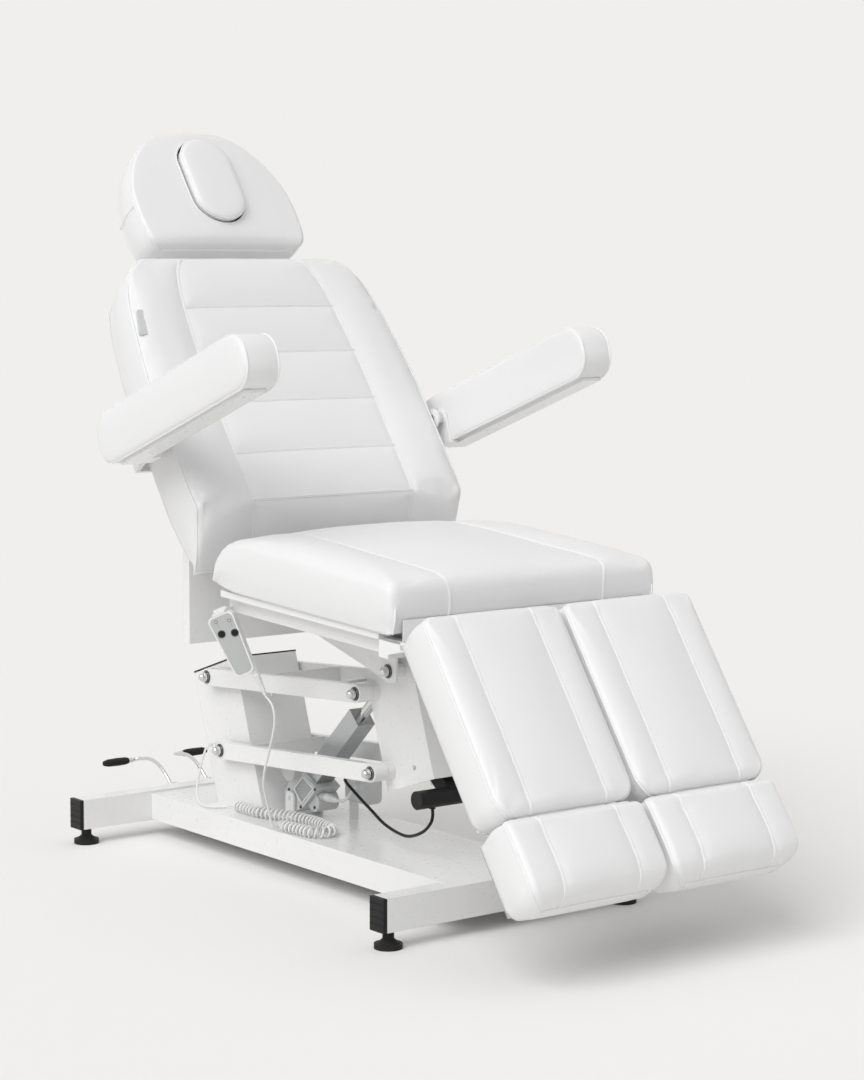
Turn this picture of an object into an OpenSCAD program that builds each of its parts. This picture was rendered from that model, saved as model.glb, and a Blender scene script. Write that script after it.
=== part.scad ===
// Podiatry treatment chair. The origin is on the floor at the middle of the base.
// +X is to the right seen from the front, +Y is towards the backrest, +Z is up.

/* [Base] */
// Distance between the middles of the two crossbars
base_span = 1021; // [900:1:1150]
// Length of each crossbar without its end caps
bar_len = 573; // [500:1:700]
// Width of a crossbar along Y
bar_w = 40; // [30:1:50]
// Height of a crossbar
bar_h = 60; // [45:1:70]
// Wall of the crossbar tube
bar_wall = 3; // [2:0.5:5]
// Height of the crossbars above the floor
bar_z = 32; // [26:1:45]
// Width of the base beam that joins the crossbars
beam_w = 254; // [220:1:300]
// Drop of the base beam's top below the crossbar tops
beam_drop = 4; // [2:1:10]
// Distance between the left and right feet
foot_span = 539; // [440:1:560]
// Diameter of a foot pad
foot_d = 50; // [36:1:60]
// Diameter of a foot's threaded stud
stud_d = 12; // [8:1:16]

/* [Column] */
// Lean of the column and the carriage away from vertical, in degrees
lean = 18.5; // [12:0.5:22]
// Outer width of the column
col_w = 146; // [130:1:156]
// Depth of the column square to its lean
col_depth = 156; // [140:1:170]
// Length of the column's front plate along the lean
col_len = 320; // [310:1:360]
// Thickness of the column and carriage sheet
sheet = 4; // [3:0.5:6]
// Place of the column's front foot behind the base's middle
col_y = 160; // [140:1:200]

/* [Lift linkage] */
// Length of the links between their pivots
link_len = 503.6; // [470:0.1:540]
// Distance between the upper and lower link pivots
link_gap = 149; // [130:1:160]
// Rise of the links towards the front at rest, in degrees
link_angle = 3.8; // [0:0.1:8]
// Height of a link arm
arm_h = 34; // [28:1:38]
// Thickness of a link arm along X
arm_t = 16; // [12:1:20]
// Distance between the inner faces of a link's two arms
arm_in = 164; // [160:1:180]
// Diameter of the link pivot pins
pin_d = 12; // [10:1:16]
// Width of the carriage
car_w = 104; // [90:1:120]
// Depth of the carriage square to its lean
car_depth = 146; // [130:1:160]

/* [Actuators] */
// Width of the lift actuator's square tube
strut_w = 40; // [34:1:44]
// Length of the lift actuator's square tube from its foot pivot
strut_len = 268; // [240:1:275]
// Diameter of the actuator rods
rod_d = 20; // [16:1:24]

/* [Seat] */
// Width of the seat cushion
seat_w = 600; // [560:1:640]
// Length of the seat cushion
seat_l = 552; // [530:1:580]
// Thickness of the seat cushion at its edge
seat_t = 96; // [80:1:110]
// Slope of the seat at rest, rising to the back, in degrees
seat_slope = 2.6; // [0:0.1:4]
// Rise of the cushions' faces between their edges
crown = 10; // [4:1:16]
// Depth of a sewn channel
channel = 5; // [2:0.5:7]
// Thickness of the covered boards under the cushions
board_t = 12; // [9:1:15]

/* [Back] */
// Lean of the backrest away from vertical at rest, in degrees
back_angle = 35.5; // [30:0.5:40]
// Length of the back cushion
// Length of the back cushion
back_l = 638; // [600:1:680]
// Width of the back cushion
back_w = 624; // [590:1:640]
// Thickness of the back cushion at its edge
back_t = 115; // [100:1:125]
// Width of the headrest
head_w = 376; // [340:1:420]
// Height of the headrest
head_l = 284; // [260:1:320]
// Thickness of the headrest
head_t = 84; // [70:1:95]
// Gap between the backrest and the headrest
head_gap = 38; // [30:1:60]
// Width of the removable face plug
plug_w = 112; // [80:1:114]
// Height of the removable face plug
plug_l = 196; // [150:1:204]
// Diameter of the two headrest posts
post_d = 12; // [10:1:16]

/* [Armrests] */
// Length of an armrest pad
rest_l = 526; // [450:1:560]
// Height of an armrest pad square to its length
rest_h = 100; // [70:1:105]
// Width of an armrest pad along X
rest_w = 75; // [60:1:90]
// Distance between the armrests' inner faces
rest_in = 690; // [680:1:740]
// Rise of the armrests towards the front, in degrees
rest_angle = 20; // [10:0.5:30]

/* [Leg rests] */
// Lean of the leg rests away from vertical at rest, in degrees
leg_angle = 35; // [30:0.5:45]
// Length of a leg cushion
leg_l = 366; // [340:1:380]
// Length of a foot cushion
foot_l = 149; // [140:1:180]
// Width of a leg cushion
leg_w = 290; // [260:1:292]
// Thickness of a leg cushion at its edge
leg_t = 88; // [76:1:96]
// Side of the square guide tubes under a leg rest
guide_w = 20; // [18:1:22]

/* [Handset] */
// Length of the handset
hand_l = 124; // [110:1:140]
// Width of the handset at its top
hand_w = 50; // [42:1:58]
// Thickness of the handset
hand_t = 22; // [18:1:28]
// Diameter of the handset cord
cord_d = 4.6; // [4:0.1:5]
// Outer diameter of the cord's curls
coil_d = 23; // [22:0.5:24]
// Number of curls
curls = 44; // [40:1:46]

/* [Hidden] */
$fn = 48;

// Clearances shared by every fit, and one overrun for cuts
run_gap = 0.08;
soft_gap = 0.3;
move_gap = 0.5;
over = 1;
lathe_fn = 32;

// Heights of the base
bar_top = bar_z + bar_h;
beam_top = bar_top - beam_drop;
beam_z = bar_z + beam_drop / 2;
bar_y = base_span / 2;
cap_t = 8;
cap_lip = 1;
foot_pad_h = 9;
foot_cone_h = 8;

// Directions of the leaning column in the YZ plane
lean_c = cos(lean);
lean_s = sin(lean);
function lean_y(u, v) = u * lean_c + v * lean_s;
function lean_z(u, v) = v * lean_c - u * lean_s;

// The four link pivots and the seat pivot
pivot_u = col_depth * 0.48;
pivot_high = col_len - arm_h * 0.65;
p1_y = col_y + lean_y(pivot_u, pivot_high);
p1_z = beam_top + lean_z(pivot_u, pivot_high);
p2_y = p1_y - lean_y(0, link_gap);
p2_z = p1_z - lean_z(0, link_gap);
p3_y = p1_y - link_len * cos(link_angle);
p3_z = p1_z + link_len * sin(link_angle);
p4_y = p3_y - lean_y(0, link_gap);
p4_z = p3_z - lean_z(0, link_gap);
seat_pivot_u = -91.4;
seat_pivot_v = 22.6;
p5_y = p3_y + lean_y(seat_pivot_u, seat_pivot_v);
p5_z = p3_z + lean_z(seat_pivot_u, seat_pivot_v);

// Link arms, their bosses and the bolts through them
arm_x0 = arm_in / 2;
arm_x1 = arm_x0 + arm_t;
bush_t = 2;
bush_d = pin_d + 2 * bush_t;
boss_d = arm_h;
washer_t = 2.5;
washer_d = pin_d + 10;
nut_d = pin_d + 7;
nut_h = pin_d * 0.55;
link_plate_t = 5;
plate_high = arm_h / 2;
up_plate_low = 27;
low_plate_low = 10;
up_plate_share = 0.4;
low_plate_share = 0.2;
car_x = car_w / 2;
car_rear_u = 19;
car_up = 45;
car_down = 186;
car_boss_end = car_x + (arm_x0 - car_x) / 2;

// Lift actuator: foot pivot on the base, top pivot on the upper link
act_foot_y = 128;
act_foot_rise = 38.5;
act_foot_z = beam_top + act_foot_rise;
act_top_short = 50.6;
act_top_back = link_len - act_top_short;
act_top_drop = 7;
act_top_y = p1_y - act_top_back * cos(link_angle) - act_top_drop * sin(link_angle);
act_top_z = p1_z + act_top_back * sin(link_angle) - act_top_drop * cos(link_angle);
act_len = norm([act_foot_y - act_top_y, act_top_z - act_foot_z]);
act_angle = atan2(act_top_z - act_foot_z, act_foot_y - act_top_y);
act_pin_d = 10;
act_slack = 6;
eye_wall = 5;
eye_d = act_pin_d + 2 * act_slack + 2 * eye_wall;
eye_t = 16;
eye_gap = 2;
ear_x = 20;
ear_t = 5;
ear_r = 14;
ear_gap = 2;
gear_w = 56;
gear_in = 24;
gear_outline = [[-15, -24], [14, -29], [60, -24], [81, 36], [13, 35], [-15, 24]];
label_outline = [[19, -8], [19, 28], [72, 28], [60, -8]];
label_depth = 1;
lobe_at = [43, 42];
lobe_d = 38;
lobe_x0 = -20;
motor_at = [49.8, -34.7];
motor_d = 44;
motor_half = 46;
nose_d = 16;
nose_l = 20;
relief_x = -8;
relief_y = 44;
relief_z = 138.5;
relief_l = 40;
cable_d = 6;

// Tilt actuator inside the carriage
tilt_foot_u = -75;
tilt_foot_v = 156;
tilt_foot_y = p3_y + lean_y(tilt_foot_u, -tilt_foot_v);
tilt_foot_z = p3_z + lean_z(tilt_foot_u, -tilt_foot_v);
tilt_top_in = 164;
tilt_top_s = seat_l - tilt_top_in;
tilt_top_h = -27;
tilt_tube_d = 34;
tilt_rod_d = 14;
tilt_slack = 1;
tilt_gear_outline = [[-78, 14], [-62, 38], [14, 15], [10, -15], [-12, -16]];
tilt_motor_at = [-66, 24];
tilt_motor_x = [-85, 15];
tilt_motor_d = 34;
tilt_gland_l = 19;
tilt_gland_in = 36;
tilt_gland_d = 12;

// Seat: its frame of reference starts at the front lower edge of the cushion
seat_ahead = 296.7;
seat_over = 115.4;
seat_y = p5_y - seat_ahead;
seat_z = p5_z + seat_over;
seam_share = 0.6;
rail_w = 20;
rail_h = 30;
rail_x = arm_x0 - move_gap;
gusset_t = 4;
gusset_x = rail_x - gusset_t;
cross_in = 40;
cross_x = seat_w / 2 - cross_in;
board_in = 14;
lug_t = 6;
lug_in = 12;
function seat_py(s, h) = seat_y + s * cos(seat_slope) - h * sin(seat_slope);
function seat_pz(s, h) = seat_z + s * sin(seat_slope) + h * cos(seat_slope);
tilt_top_y = seat_py(tilt_top_s, tilt_top_h);
tilt_top_z = seat_pz(tilt_top_s, tilt_top_h);
tilt_len = norm([tilt_top_y - tilt_foot_y, tilt_top_z - tilt_foot_z]);
tilt_angle = atan2(tilt_top_z - tilt_foot_z, tilt_top_y - tilt_foot_y);
tilt_motor_y = tilt_foot_y + tilt_motor_at[0] * cos(tilt_angle) - tilt_motor_at[1] * sin(tilt_angle);
tilt_motor_z = tilt_foot_z + tilt_motor_at[0] * sin(tilt_angle) + tilt_motor_at[1] * cos(tilt_angle);
tilt_gland = [tilt_motor_x[0] + tilt_gland_in, tilt_motor_y, tilt_motor_z - tilt_gland_l];

// Back: its frame of reference starts at the hinge
hinge_behind = 60;
hinge_under = 15;
back_hinge_y = seat_py(seat_l + hinge_behind, -hinge_under);
back_hinge_z = seat_pz(seat_l + hinge_behind, -hinge_under);
back_start = 32;
back_lo = 12.5;
back_rail_x = 150;
back_rail_w = 24;
hinge_pin_d = 10;
hinge_lug_r = 13;
apron_w = 524;
apron_behind = 70;
apron_top = 78;
apron_low = 108;
apron_flange = 20;
apron_t = 2.5;

// Gas spring between the seat frame and the back
spring_x = 46;
spring_tube_d = 22;
spring_rod_d = 10;
spring_foot_in = 197;
spring_foot_s = seat_l - spring_foot_in;
spring_foot_h = -27;
spring_top_behind = 40;
spring_top_under = 50;
spring_foot_y = seat_py(spring_foot_s, spring_foot_h);
spring_foot_z = seat_pz(spring_foot_s, spring_foot_h);
spring_top_y = back_hinge_y + spring_top_behind;
spring_top_z = back_hinge_z - spring_top_under;
spring_len = norm([spring_top_y - spring_foot_y, spring_top_z - spring_foot_z]);
spring_angle = atan2(spring_top_z - spring_foot_z, spring_top_y - spring_foot_y);
spring_pin_d = 8;
spring_slack = 5.5;
spring_tube_share = 0.55;
spring_bore_share = 0.2;
spring_rod_share = 0.48;
spring_ear_w = 4;
spring_ear_x = 10;

// Headrest
head_start = back_start + back_l + head_gap;
head_set = 9;
head_hi = back_lo + back_t - head_set;
head_lo = head_hi - head_t;
post_x = 60;
post_n = head_lo + head_t * 0.35;
post_in = 130;
post_up = 70;
plug_mid_share = 0.52;
plug_proud = 26;
plug_gap = 1;

// Armrests
rest_pivot_t = 286;
rest_pivot_n = 112;
rest_pivot_y = back_hinge_y + rest_pivot_t * sin(back_angle) - rest_pivot_n * cos(back_angle);
rest_pivot_z = back_hinge_z + rest_pivot_t * cos(back_angle) + rest_pivot_n * sin(back_angle);
rest_tail = 70;
rest_x0 = rest_in / 2;
rest_tab = 18;
rest_plate_t = 6;
rest_pin_d = 16;
bracket_gap = 6;
bracket_x = back_w / 2 + bracket_gap;
bracket_t = 6;
bracket_half = 20;

// Leg rests: their frame of reference starts at the hinge
leg_hinge_ahead = 15;
leg_hinge_under = 17;
leg_hinge_y = seat_y - leg_hinge_ahead;
leg_hinge_z = seat_z - leg_hinge_under;
leg_x = 152.5;
leg_top = 6.4;
leg_board_t = 10;
leg_lo = leg_board_t + soft_gap;
foot_gap = 5;
barrel_d = 16;
leg_pin_d = 10;
leg_lug_x = leg_w / 2 - lug_in;
guide_x = 90;
guide_end = 24;
foot_rod_d = 14;
leg_seam_share = 0.56;
angle_h = 40;
angle_t = 2;

// Handset: its frame of reference hangs from the middle of its top
hand_in = 12;
hand_x = hand_in - seat_w / 2;
hand_y = -15;
hand_z = 527;
hand_turn = 45;
hand_tilt = 24;
hand_lean = 3;
button_d = 11;
button_travel = 1;
button_proud = 1.2;
button_x = [-10, 14];
button_share = [0.29, 0.345];

// Two-dimensional helpers in the YZ plane, extruded along X
module yz(x0, x1) {
    translate([x0, 0, 0]) rotate([90, 0, 90]) linear_extrude(x1 - x0) children();
}

module rod_x(x0, x1, d, y = 0, z = 0) {
    translate([x0, y, z]) rotate([0, 90, 0]) cylinder(d = d, h = x1 - x0);
}

module box(x0, x1, y0, y1, z0, z1) {
    translate([x0, y0, z0]) cube([x1 - x0, y1 - y0, z1 - z0]);
}

module both_sides() {
    children();
    mirror([1, 0, 0]) children();
}

// Frames of reference of the moving groups
module at(y, z, turn) {
    translate([0, y, z]) rotate([turn, 0, 0]) children();
}

module on_column() {
    at(col_y, beam_top, -lean) children();
}

module on_carriage() {
    at(p3_y, p3_z, -lean) children();
}

module on_seat() {
    at(seat_y, seat_z, seat_slope) children();
}

module on_back() {
    at(back_hinge_y, back_hinge_z, 90 - back_angle) children();
}

module on_leg(side) {
    translate([side * leg_x, 0, 0]) at(leg_hinge_y, leg_hinge_z, 90 - leg_angle) children();
}

module on_rest() {
    at(rest_pivot_y, rest_pivot_z, -rest_angle) children();
}

module on_lift() {
    at(act_foot_y, act_foot_z, 180 - act_angle) children();
}

module on_tilt() {
    at(tilt_foot_y, tilt_foot_z, tilt_angle) children();
}

module on_spring() {
    translate([spring_x, 0, 0]) at(spring_foot_y, spring_foot_z, spring_angle) children();
}

module on_hand() {
    translate([hand_x, hand_y, hand_z]) rotate([0, 0, -hand_turn]) rotate([hand_lean, 0, 0])
        rotate([0, -hand_tilt, 0]) children();
}

// A bolt along X with a washer and a domed nut at each end
module through_bolt(half, d, y, z) {
    rod_x(-half, half, d, y, z);
    both_sides() {
        rod_x(half, half + washer_t, washer_d, y, z);
        translate([half + washer_t, y, z]) rotate([0, 90, 0]) {
            cylinder(d = nut_d, h = nut_h);
            translate([0, 0, nut_h]) intersection() {
                sphere(d = nut_d * 0.92);
                cylinder(d = nut_d, h = nut_d);
            }
        }
    }
}

// Closed mesh through a list of rings with equal point counts
function ring_mid(r) = [for (k = [0:2]) let (s = [for (p = r) p[k]]) (min(s) + max(s)) / 2];

module loft(rings) {
    n = len(rings);
    m = len(rings[0]);
    first = n * m;
    points = concat([for (r = rings) for (p = r) p], [ring_mid(rings[0]), ring_mid(rings[n - 1])]);
    sides = [for (i = [0:n - 2]) for (j = [0:m - 1]) let (a = i * m + j, b = i * m + (j + 1) % m)
        each [[a, b, b + m], [a, b + m, a + m]]];
    caps = [for (j = [0:m - 1]) let (k = (j + 1) % m)
        each [[first, k, j], [first + 1, (n - 1) * m + j, (n - 1) * m + k]]];
    polyhedron(points = points, faces = concat(sides, caps), convexity = 6);
}

// One ring of a cushion at length y: the crowned face, a drawn-in side, the flat seat face.
// A row holds [y, half width, low, high, share of the crown, share of the channel].
pad_lip = 4;
back_foot = 11;
seat_foot = 9;
leg_foot = 3;
head_foot = 4;
pad_draw = 3;
even_shares = [-1, -0.75, -0.4, 0, 0.4, 0.75, 1];
function seam_list(s, w) = [-1, -0.86, -s - w, -s, -s + w, -s / 2, 0, s / 2, s - w, s, s + w, 0.86, 1];
function on_seam(u, seam) = abs(abs(u) - seam) < 0.001 ? 1 : 0;
function pad_face(u, row, rise, seam) = row[3] + rise * row[4] * (1 - u * u)
    - channel * max(row[5] * (1 - pow(abs(u), 8)), on_seam(u, seam) * row[4]);
function pad_side(row, foot) = let (w = row[1], mid = (row[2] + row[3]) / 2)
    [[w, row[3] - pad_lip], [w - pad_draw, mid], [w - foot, row[2]]];
function pad_ring(row, us, rise, seam, foot) = let (side = pad_side(row, foot), w = row[1] - pad_lip)
    concat([for (u = us) [-u * w, row[0], pad_face(u, row, rise, seam)]],
        [for (p = side) [-p[0], row[0], p[1]]],
        [for (i = [2:-1:0]) [side[i][0], row[0], side[i][1]]]);

module pad(rows, us, rise, seam, foot) {
    loft([for (row = rows) pad_ring(row, us, rise, seam, foot)]);
}

// A tube of constant diameter through points, by rings square to its run
function unit(v) = v / max(norm(v), 0.000001);
function run_dir(p, i) = unit(p[min(i + 1, len(p) - 1)] - p[max(i - 1, 0)]);
function side_dir(t) = unit(cross(t, abs(t[2]) > 0.95 ? [1, 0, 0] : [0, 0, 1]));
function tube_ring(c, t, a, d, sides) = let (b = unit(cross(t, a)))
    [for (k = [0:sides - 1]) c + d / 2 * (a * cos(k * 360 / sides) - b * sin(k * 360 / sides))];
function carry(p, i, a) = let (t = run_dir(p, i), k = a - t * (a * t)) unit(k);
function carried(p, i = 0, a = undef, out = []) = i >= len(p) ? out :
    let (k = i == 0 ? side_dir(run_dir(p, 0)) : carry(p, i, a))
    carried(p, i + 1, k, concat(out, [k]));

module tube(p, d, sides) {
    a = carried(p);
    loft([for (i = [0:len(p) - 1]) tube_ring(p[i], run_dir(p, i), a[i], d, sides)]);
}

// A smooth curve through hand-placed points, with steps pieces to each span
function spline_at(a, b, c, d, t) = 0.5 * (2 * b + (c - a) * t + (2 * a - 5 * b + 4 * c - d) * t * t
    + (3 * b - a - 3 * c + d) * t * t * t);
function spline_span(p, i, t) = let (n = len(p) - 1)
    spline_at(i > 0 ? p[i - 1] : 2 * p[0] - p[1], p[i], p[i + 1], i + 2 > n ? 2 * p[n] - p[n - 1] : p[i + 2], t);
function spline(p, steps) = concat([for (i = [0:len(p) - 2]) for (k = [0:steps - 1])
    spline_span(p, i, k / steps)], [p[len(p) - 1]]);

// Base
module crossbar(y) {
    difference() {
        box(-bar_len / 2, bar_len / 2, y - bar_w / 2, y + bar_w / 2, bar_z, bar_top);
        box(-bar_len / 2 - over, bar_len / 2 + over, y - bar_w / 2 + bar_wall, y + bar_w / 2 - bar_wall,
            bar_z + bar_wall, bar_top - bar_wall);
        for (x = [-foot_span / 2, foot_span / 2]) translate([x, y, bar_z - over])
            cylinder(d = stud_d + 2 * run_gap, h = bar_wall + 2 * over);
    }
}

ear_y = act_foot_y;
box_x0 = 32;
box_x1 = 76;
box_y0 = -26;
box_y1 = 34;
box_low = beam_top + 40;
box_high = beam_top + 114;
box_post = 20;
box_post_t = 3;
pedal_x = 44;
pedal_y = bar_y + bar_w / 2 + 14;
pedal_z = bar_z + bar_h * 0.85;
pedal_rod_d = 8;
pedal_pin_d = 8;
pedal_bore_in = 2;
pedal_lug_t = 5;
pedal_lug_w = 18;

module base_frame() {
    color("white") union() {
        crossbar(-bar_y);
        crossbar(bar_y);
        box(-beam_w / 2, beam_w / 2, -bar_y + bar_w / 2, bar_y - bar_w / 2, beam_z, beam_top);
        for (x = [-gear_w / 2 - ear_t - ear_gap, gear_w / 2 + ear_gap]) difference() {
            yz(x, x + ear_t) union() {
                translate([ear_y - ear_r, beam_top]) square([2 * ear_r, act_foot_z - beam_top]);
                translate([ear_y, act_foot_z]) circle(r = ear_r);
            }
            rod_x(x - over, x + ear_t + over, act_pin_d + 2 * run_gap, ear_y, act_foot_z);
        }
        box((box_x0 + box_x1 - box_post) / 2, (box_x0 + box_x1 + box_post) / 2,
            box_y1, box_y1 + box_post_t, beam_top, box_high - box_post);
        for (side = [-1, 1]) for (k = [-1, 1]) {
            x = side * pedal_x + k * (pedal_rod_d / 2 + pedal_lug_t / 2 + move_gap);
            difference() {
                yz(x - pedal_lug_t / 2, x + pedal_lug_t / 2) union() {
                    translate([bar_y + bar_w / 2, pedal_z - pedal_lug_w / 2])
                        square([pedal_y - bar_y - bar_w / 2, pedal_lug_w]);
                    translate([pedal_y, pedal_z]) circle(d = pedal_lug_w);
                }
                rod_x(x - pedal_lug_t, x + pedal_lug_t, pedal_pin_d, pedal_y, pedal_z);
            }
        }
    }
}

module bar_end_caps() {
    color("#222222") for (y = [-bar_y, bar_y]) for (side = [-1, 1]) scale([side, 1, 1])
        translate([bar_len / 2, y, bar_z]) {
            box(0, cap_t, -bar_w / 2, bar_w / 2, 0, bar_h);
            box(-bar_w * 0.2, 0, -bar_w / 2 + bar_wall + soft_gap, bar_w / 2 - bar_wall - soft_gap,
                bar_wall + soft_gap, bar_h - bar_wall - soft_gap);
            for (k = [0.2, 0.4, 0.6, 0.8])
                box(cap_t, cap_t + cap_lip, -bar_w / 2 + cap_lip, bar_w / 2 - cap_lip,
                    k * bar_h - cap_lip, k * bar_h + cap_lip);
        }
}

module levelling_feet() {
    color("#222222") for (x = [-foot_span / 2, foot_span / 2]) for (y = [-bar_y, bar_y])
        translate([x, y, 0]) {
            cylinder(d = foot_d, h = foot_pad_h);
            translate([0, 0, foot_pad_h]) cylinder(d1 = foot_d * 0.8, d2 = stud_d * 1.8, h = foot_cone_h);
            translate([0, 0, foot_pad_h + foot_cone_h])
                cylinder(d = stud_d * 1.7, h = bar_z - foot_pad_h - foot_cone_h);
            cylinder(d = stud_d, h = bar_z + bar_wall + stud_d);
        }
}

// Side outline of the column, cut level at its foot and square at its top
module column_outline(in = 0) {
    polygon([[col_y + in / lean_c, beam_top],
        [col_y + in / lean_c + col_len * lean_s, beam_top + col_len * lean_c - in * lean_s],
        [col_y + lean_y(col_depth, col_len), beam_top + lean_z(col_depth, col_len)],
        [col_y + lean_y(col_depth, col_depth * lean_s / lean_c), beam_top]]);
}

gland_y = p2_y + 50;
gland_z = p2_z + 4;
gland_d = 18;
gland_l = 10;

module column() {
    color("white") difference() {
        union() {
            difference() {
                yz(-col_w / 2, col_w / 2) column_outline();
                translate([0, 0, -sheet])
                    yz(-col_w / 2 + sheet, col_w / 2 - sheet) translate([0, 0]) offset_outline();
            }
            rod_x(-col_w / 2 - gland_l, -col_w / 2, gland_d, gland_y, gland_z);
            for (p = [[p1_y, p1_z], [p2_y, p2_z]]) both_sides()
                rod_x(col_w / 2, arm_x0 - move_gap, boss_d * 0.8, p[0], p[1]);
        }
        for (p = [[p1_y, p1_z], [p2_y, p2_z]])
            rod_x(-arm_x1, arm_x1, pin_d + 2 * run_gap, p[0], p[1]);
        }
}

// Hollow of the column: open to the rear, above and below
module offset_outline() {
    polygon([[col_y + sheet / lean_c, beam_top],
        [col_y + sheet / lean_c + 2 * col_len * lean_s, beam_top + 2 * col_len * lean_c],
        [col_y + 3 * col_depth + 2 * col_len * lean_s, beam_top + 2 * col_len * lean_c],
        [col_y + 3 * col_depth, beam_top]]);
}

trim_t = 3;
trim_w = 6;

module column_edge_trim() {
    color("#222222") on_column() {
        both_sides() box(col_w / 2 - trim_w / 2 - sheet / 2, col_w / 2 - sheet / 2 + trim_w / 2,
            0, col_depth, col_len, col_len + trim_t);
        box(-col_w / 2 + sheet, col_w / 2 - sheet, 0, trim_w, col_len, col_len + trim_t);
    }
}

module column_pivot_bolts() {
    color("silver") for (p = [[p1_y, p1_z], [p2_y, p2_z]]) through_bolt(arm_x1 + move_gap, pin_d, p[0], p[1]);
}

// Pedals: each hinges on the rear crossbar and carries a sideways grip
pedal_run = 136;
pedal_rise = 44;
pedal_bend = 14;
pedal_ease = 4;
grip_l = 62;
grip_d = 17;
ferrule_l = 10;
ferrule_share = 0.82;

function pedal_points(side) = [[0, 0, 0], [0, pedal_run * 0.3, pedal_rise * 0.72],
    [0, pedal_run * 0.6, pedal_rise], [0, pedal_run - pedal_bend, pedal_rise * 0.9],
    [side * pedal_ease, pedal_run - pedal_ease, pedal_rise * 0.86],
    [side * pedal_bend, pedal_run, pedal_rise * ferrule_share]];

module pedal(side) {
    color("silver") translate([side * pedal_x, pedal_y, pedal_z]) {
        difference() {
            rod_x(-pedal_rod_d / 2, pedal_rod_d / 2, pedal_lug_w * 0.8);
            rod_x(-pedal_rod_d, pedal_rod_d, pedal_pin_d - pedal_bore_in);
        }
        rod_x(-pedal_rod_d, pedal_rod_d, pedal_pin_d - 2 * run_gap);
        intersection() {
            tube(spline(pedal_points(side), 3), pedal_rod_d, 12);
            box(-pedal_run, pedal_run, pedal_pin_d / 2, 2 * pedal_run, -pedal_run, pedal_run);
        }
        translate([side * pedal_bend, pedal_run, pedal_rise * ferrule_share]) rotate([0, side * 90, 0])
            cylinder(d = pedal_rod_d * 1.3, h = ferrule_l);
    }
}

module pedal_left() { pedal(-1); }
module pedal_right() { pedal(1); }

module pedal_grip(side) {
    color("#222222") translate([side * (pedal_x + pedal_bend + ferrule_l), pedal_y + pedal_run,
        pedal_z + pedal_rise * ferrule_share])
        rotate([0, side * 90, 0]) rotate_extrude()
            polygon([[0, 0], [grip_d * 0.35, 0], [grip_d * 0.46, grip_l * 0.1], [grip_d / 2, grip_l * 0.4],
                [grip_d * 0.46, grip_l * 0.8], [grip_d * 0.3, grip_l * 0.96], [0, grip_l]]);
}

module pedal_grip_left() { pedal_grip(-1); }
module pedal_grip_right() { pedal_grip(1); }

box_round = 10;

module control_box() {
    color("#d8d8d6") translate([0, box_y1, 0]) rotate([90, 0, 0]) linear_extrude(box_y1 - box_y0) union() {
        translate([box_x0 + box_round, box_low]) square([box_x1 - box_x0 - 2 * box_round, box_high - box_low]);
        translate([box_x0, box_low + box_round]) square([box_x1 - box_x0, box_high - box_low - 2 * box_round]);
        for (x = [box_x0 + box_round, box_x1 - box_round])
            for (z = [box_low + box_round, box_high - box_round]) translate([x, z]) circle(r = box_round);
    }
}

// Links: two arms, bosses towards the carriage and cross pieces
module link_body(y, z, share, low) {
    at(y, z, -link_angle) difference() {
        union() {
            both_sides() {
                yz(arm_x0, arm_x1) union() {
                    translate([-link_len, -arm_h / 2]) square([link_len, arm_h]);
                    circle(d = arm_h);
                    translate([-link_len, 0]) circle(d = arm_h);
                }
                rod_x(car_boss_end + move_gap, arm_x0, boss_d, -link_len, 0);
            }
            box(-arm_x0, arm_x0, -link_len * share - link_plate_t, -link_len * share, -low, plate_high);
            children();
        }
        both_sides() {
            rod_x(arm_x0 - over, arm_x1 + over, bush_d, 0, 0);
            rod_x(car_boss_end, arm_x1 + over, bush_d, -link_len, 0);
        }
    }
}

bridge_z = eye_d / 2 - act_top_drop + act_slack;

module upper_link() {
    color("white") link_body(p1_y, p1_z, up_plate_share, up_plate_low) union() {
        both_sides() {
            rod_x(ear_x, ear_x + ear_t, act_pin_d + 2 * eye_wall, -act_top_back, -act_top_drop);
            box(ear_x, ear_x + ear_t, -act_top_back - act_pin_d, -act_top_back + act_pin_d,
                -act_top_drop, bridge_z);
        }
        rod_x(-ear_x - ear_t, ear_x + ear_t, act_pin_d, -act_top_back, -act_top_drop);
        box(-arm_x0, arm_x0, -act_top_back - act_pin_d, -act_top_back + act_pin_d,
            bridge_z, bridge_z + link_plate_t);
    }
}

module lower_link() {
    color("white") link_body(p2_y, p2_z, low_plate_share, low_plate_low);
}

module link_bushes(y, z) {
    color("#444444") at(y, z, -link_angle) both_sides() {
        difference() {
            rod_x(arm_x0, arm_x1, bush_d);
            rod_x(arm_x0 - over, arm_x1 + over, pin_d + 2 * run_gap);
        }
        difference() {
            rod_x(car_boss_end + move_gap, arm_x1, bush_d, -link_len, 0);
            rod_x(car_boss_end, arm_x1 + over, pin_d + 2 * run_gap, -link_len, 0);
        }
    }
}

module upper_link_bushes() { link_bushes(p1_y, p1_z); }
module lower_link_bushes() { link_bushes(p2_y, p2_z); }

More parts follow.
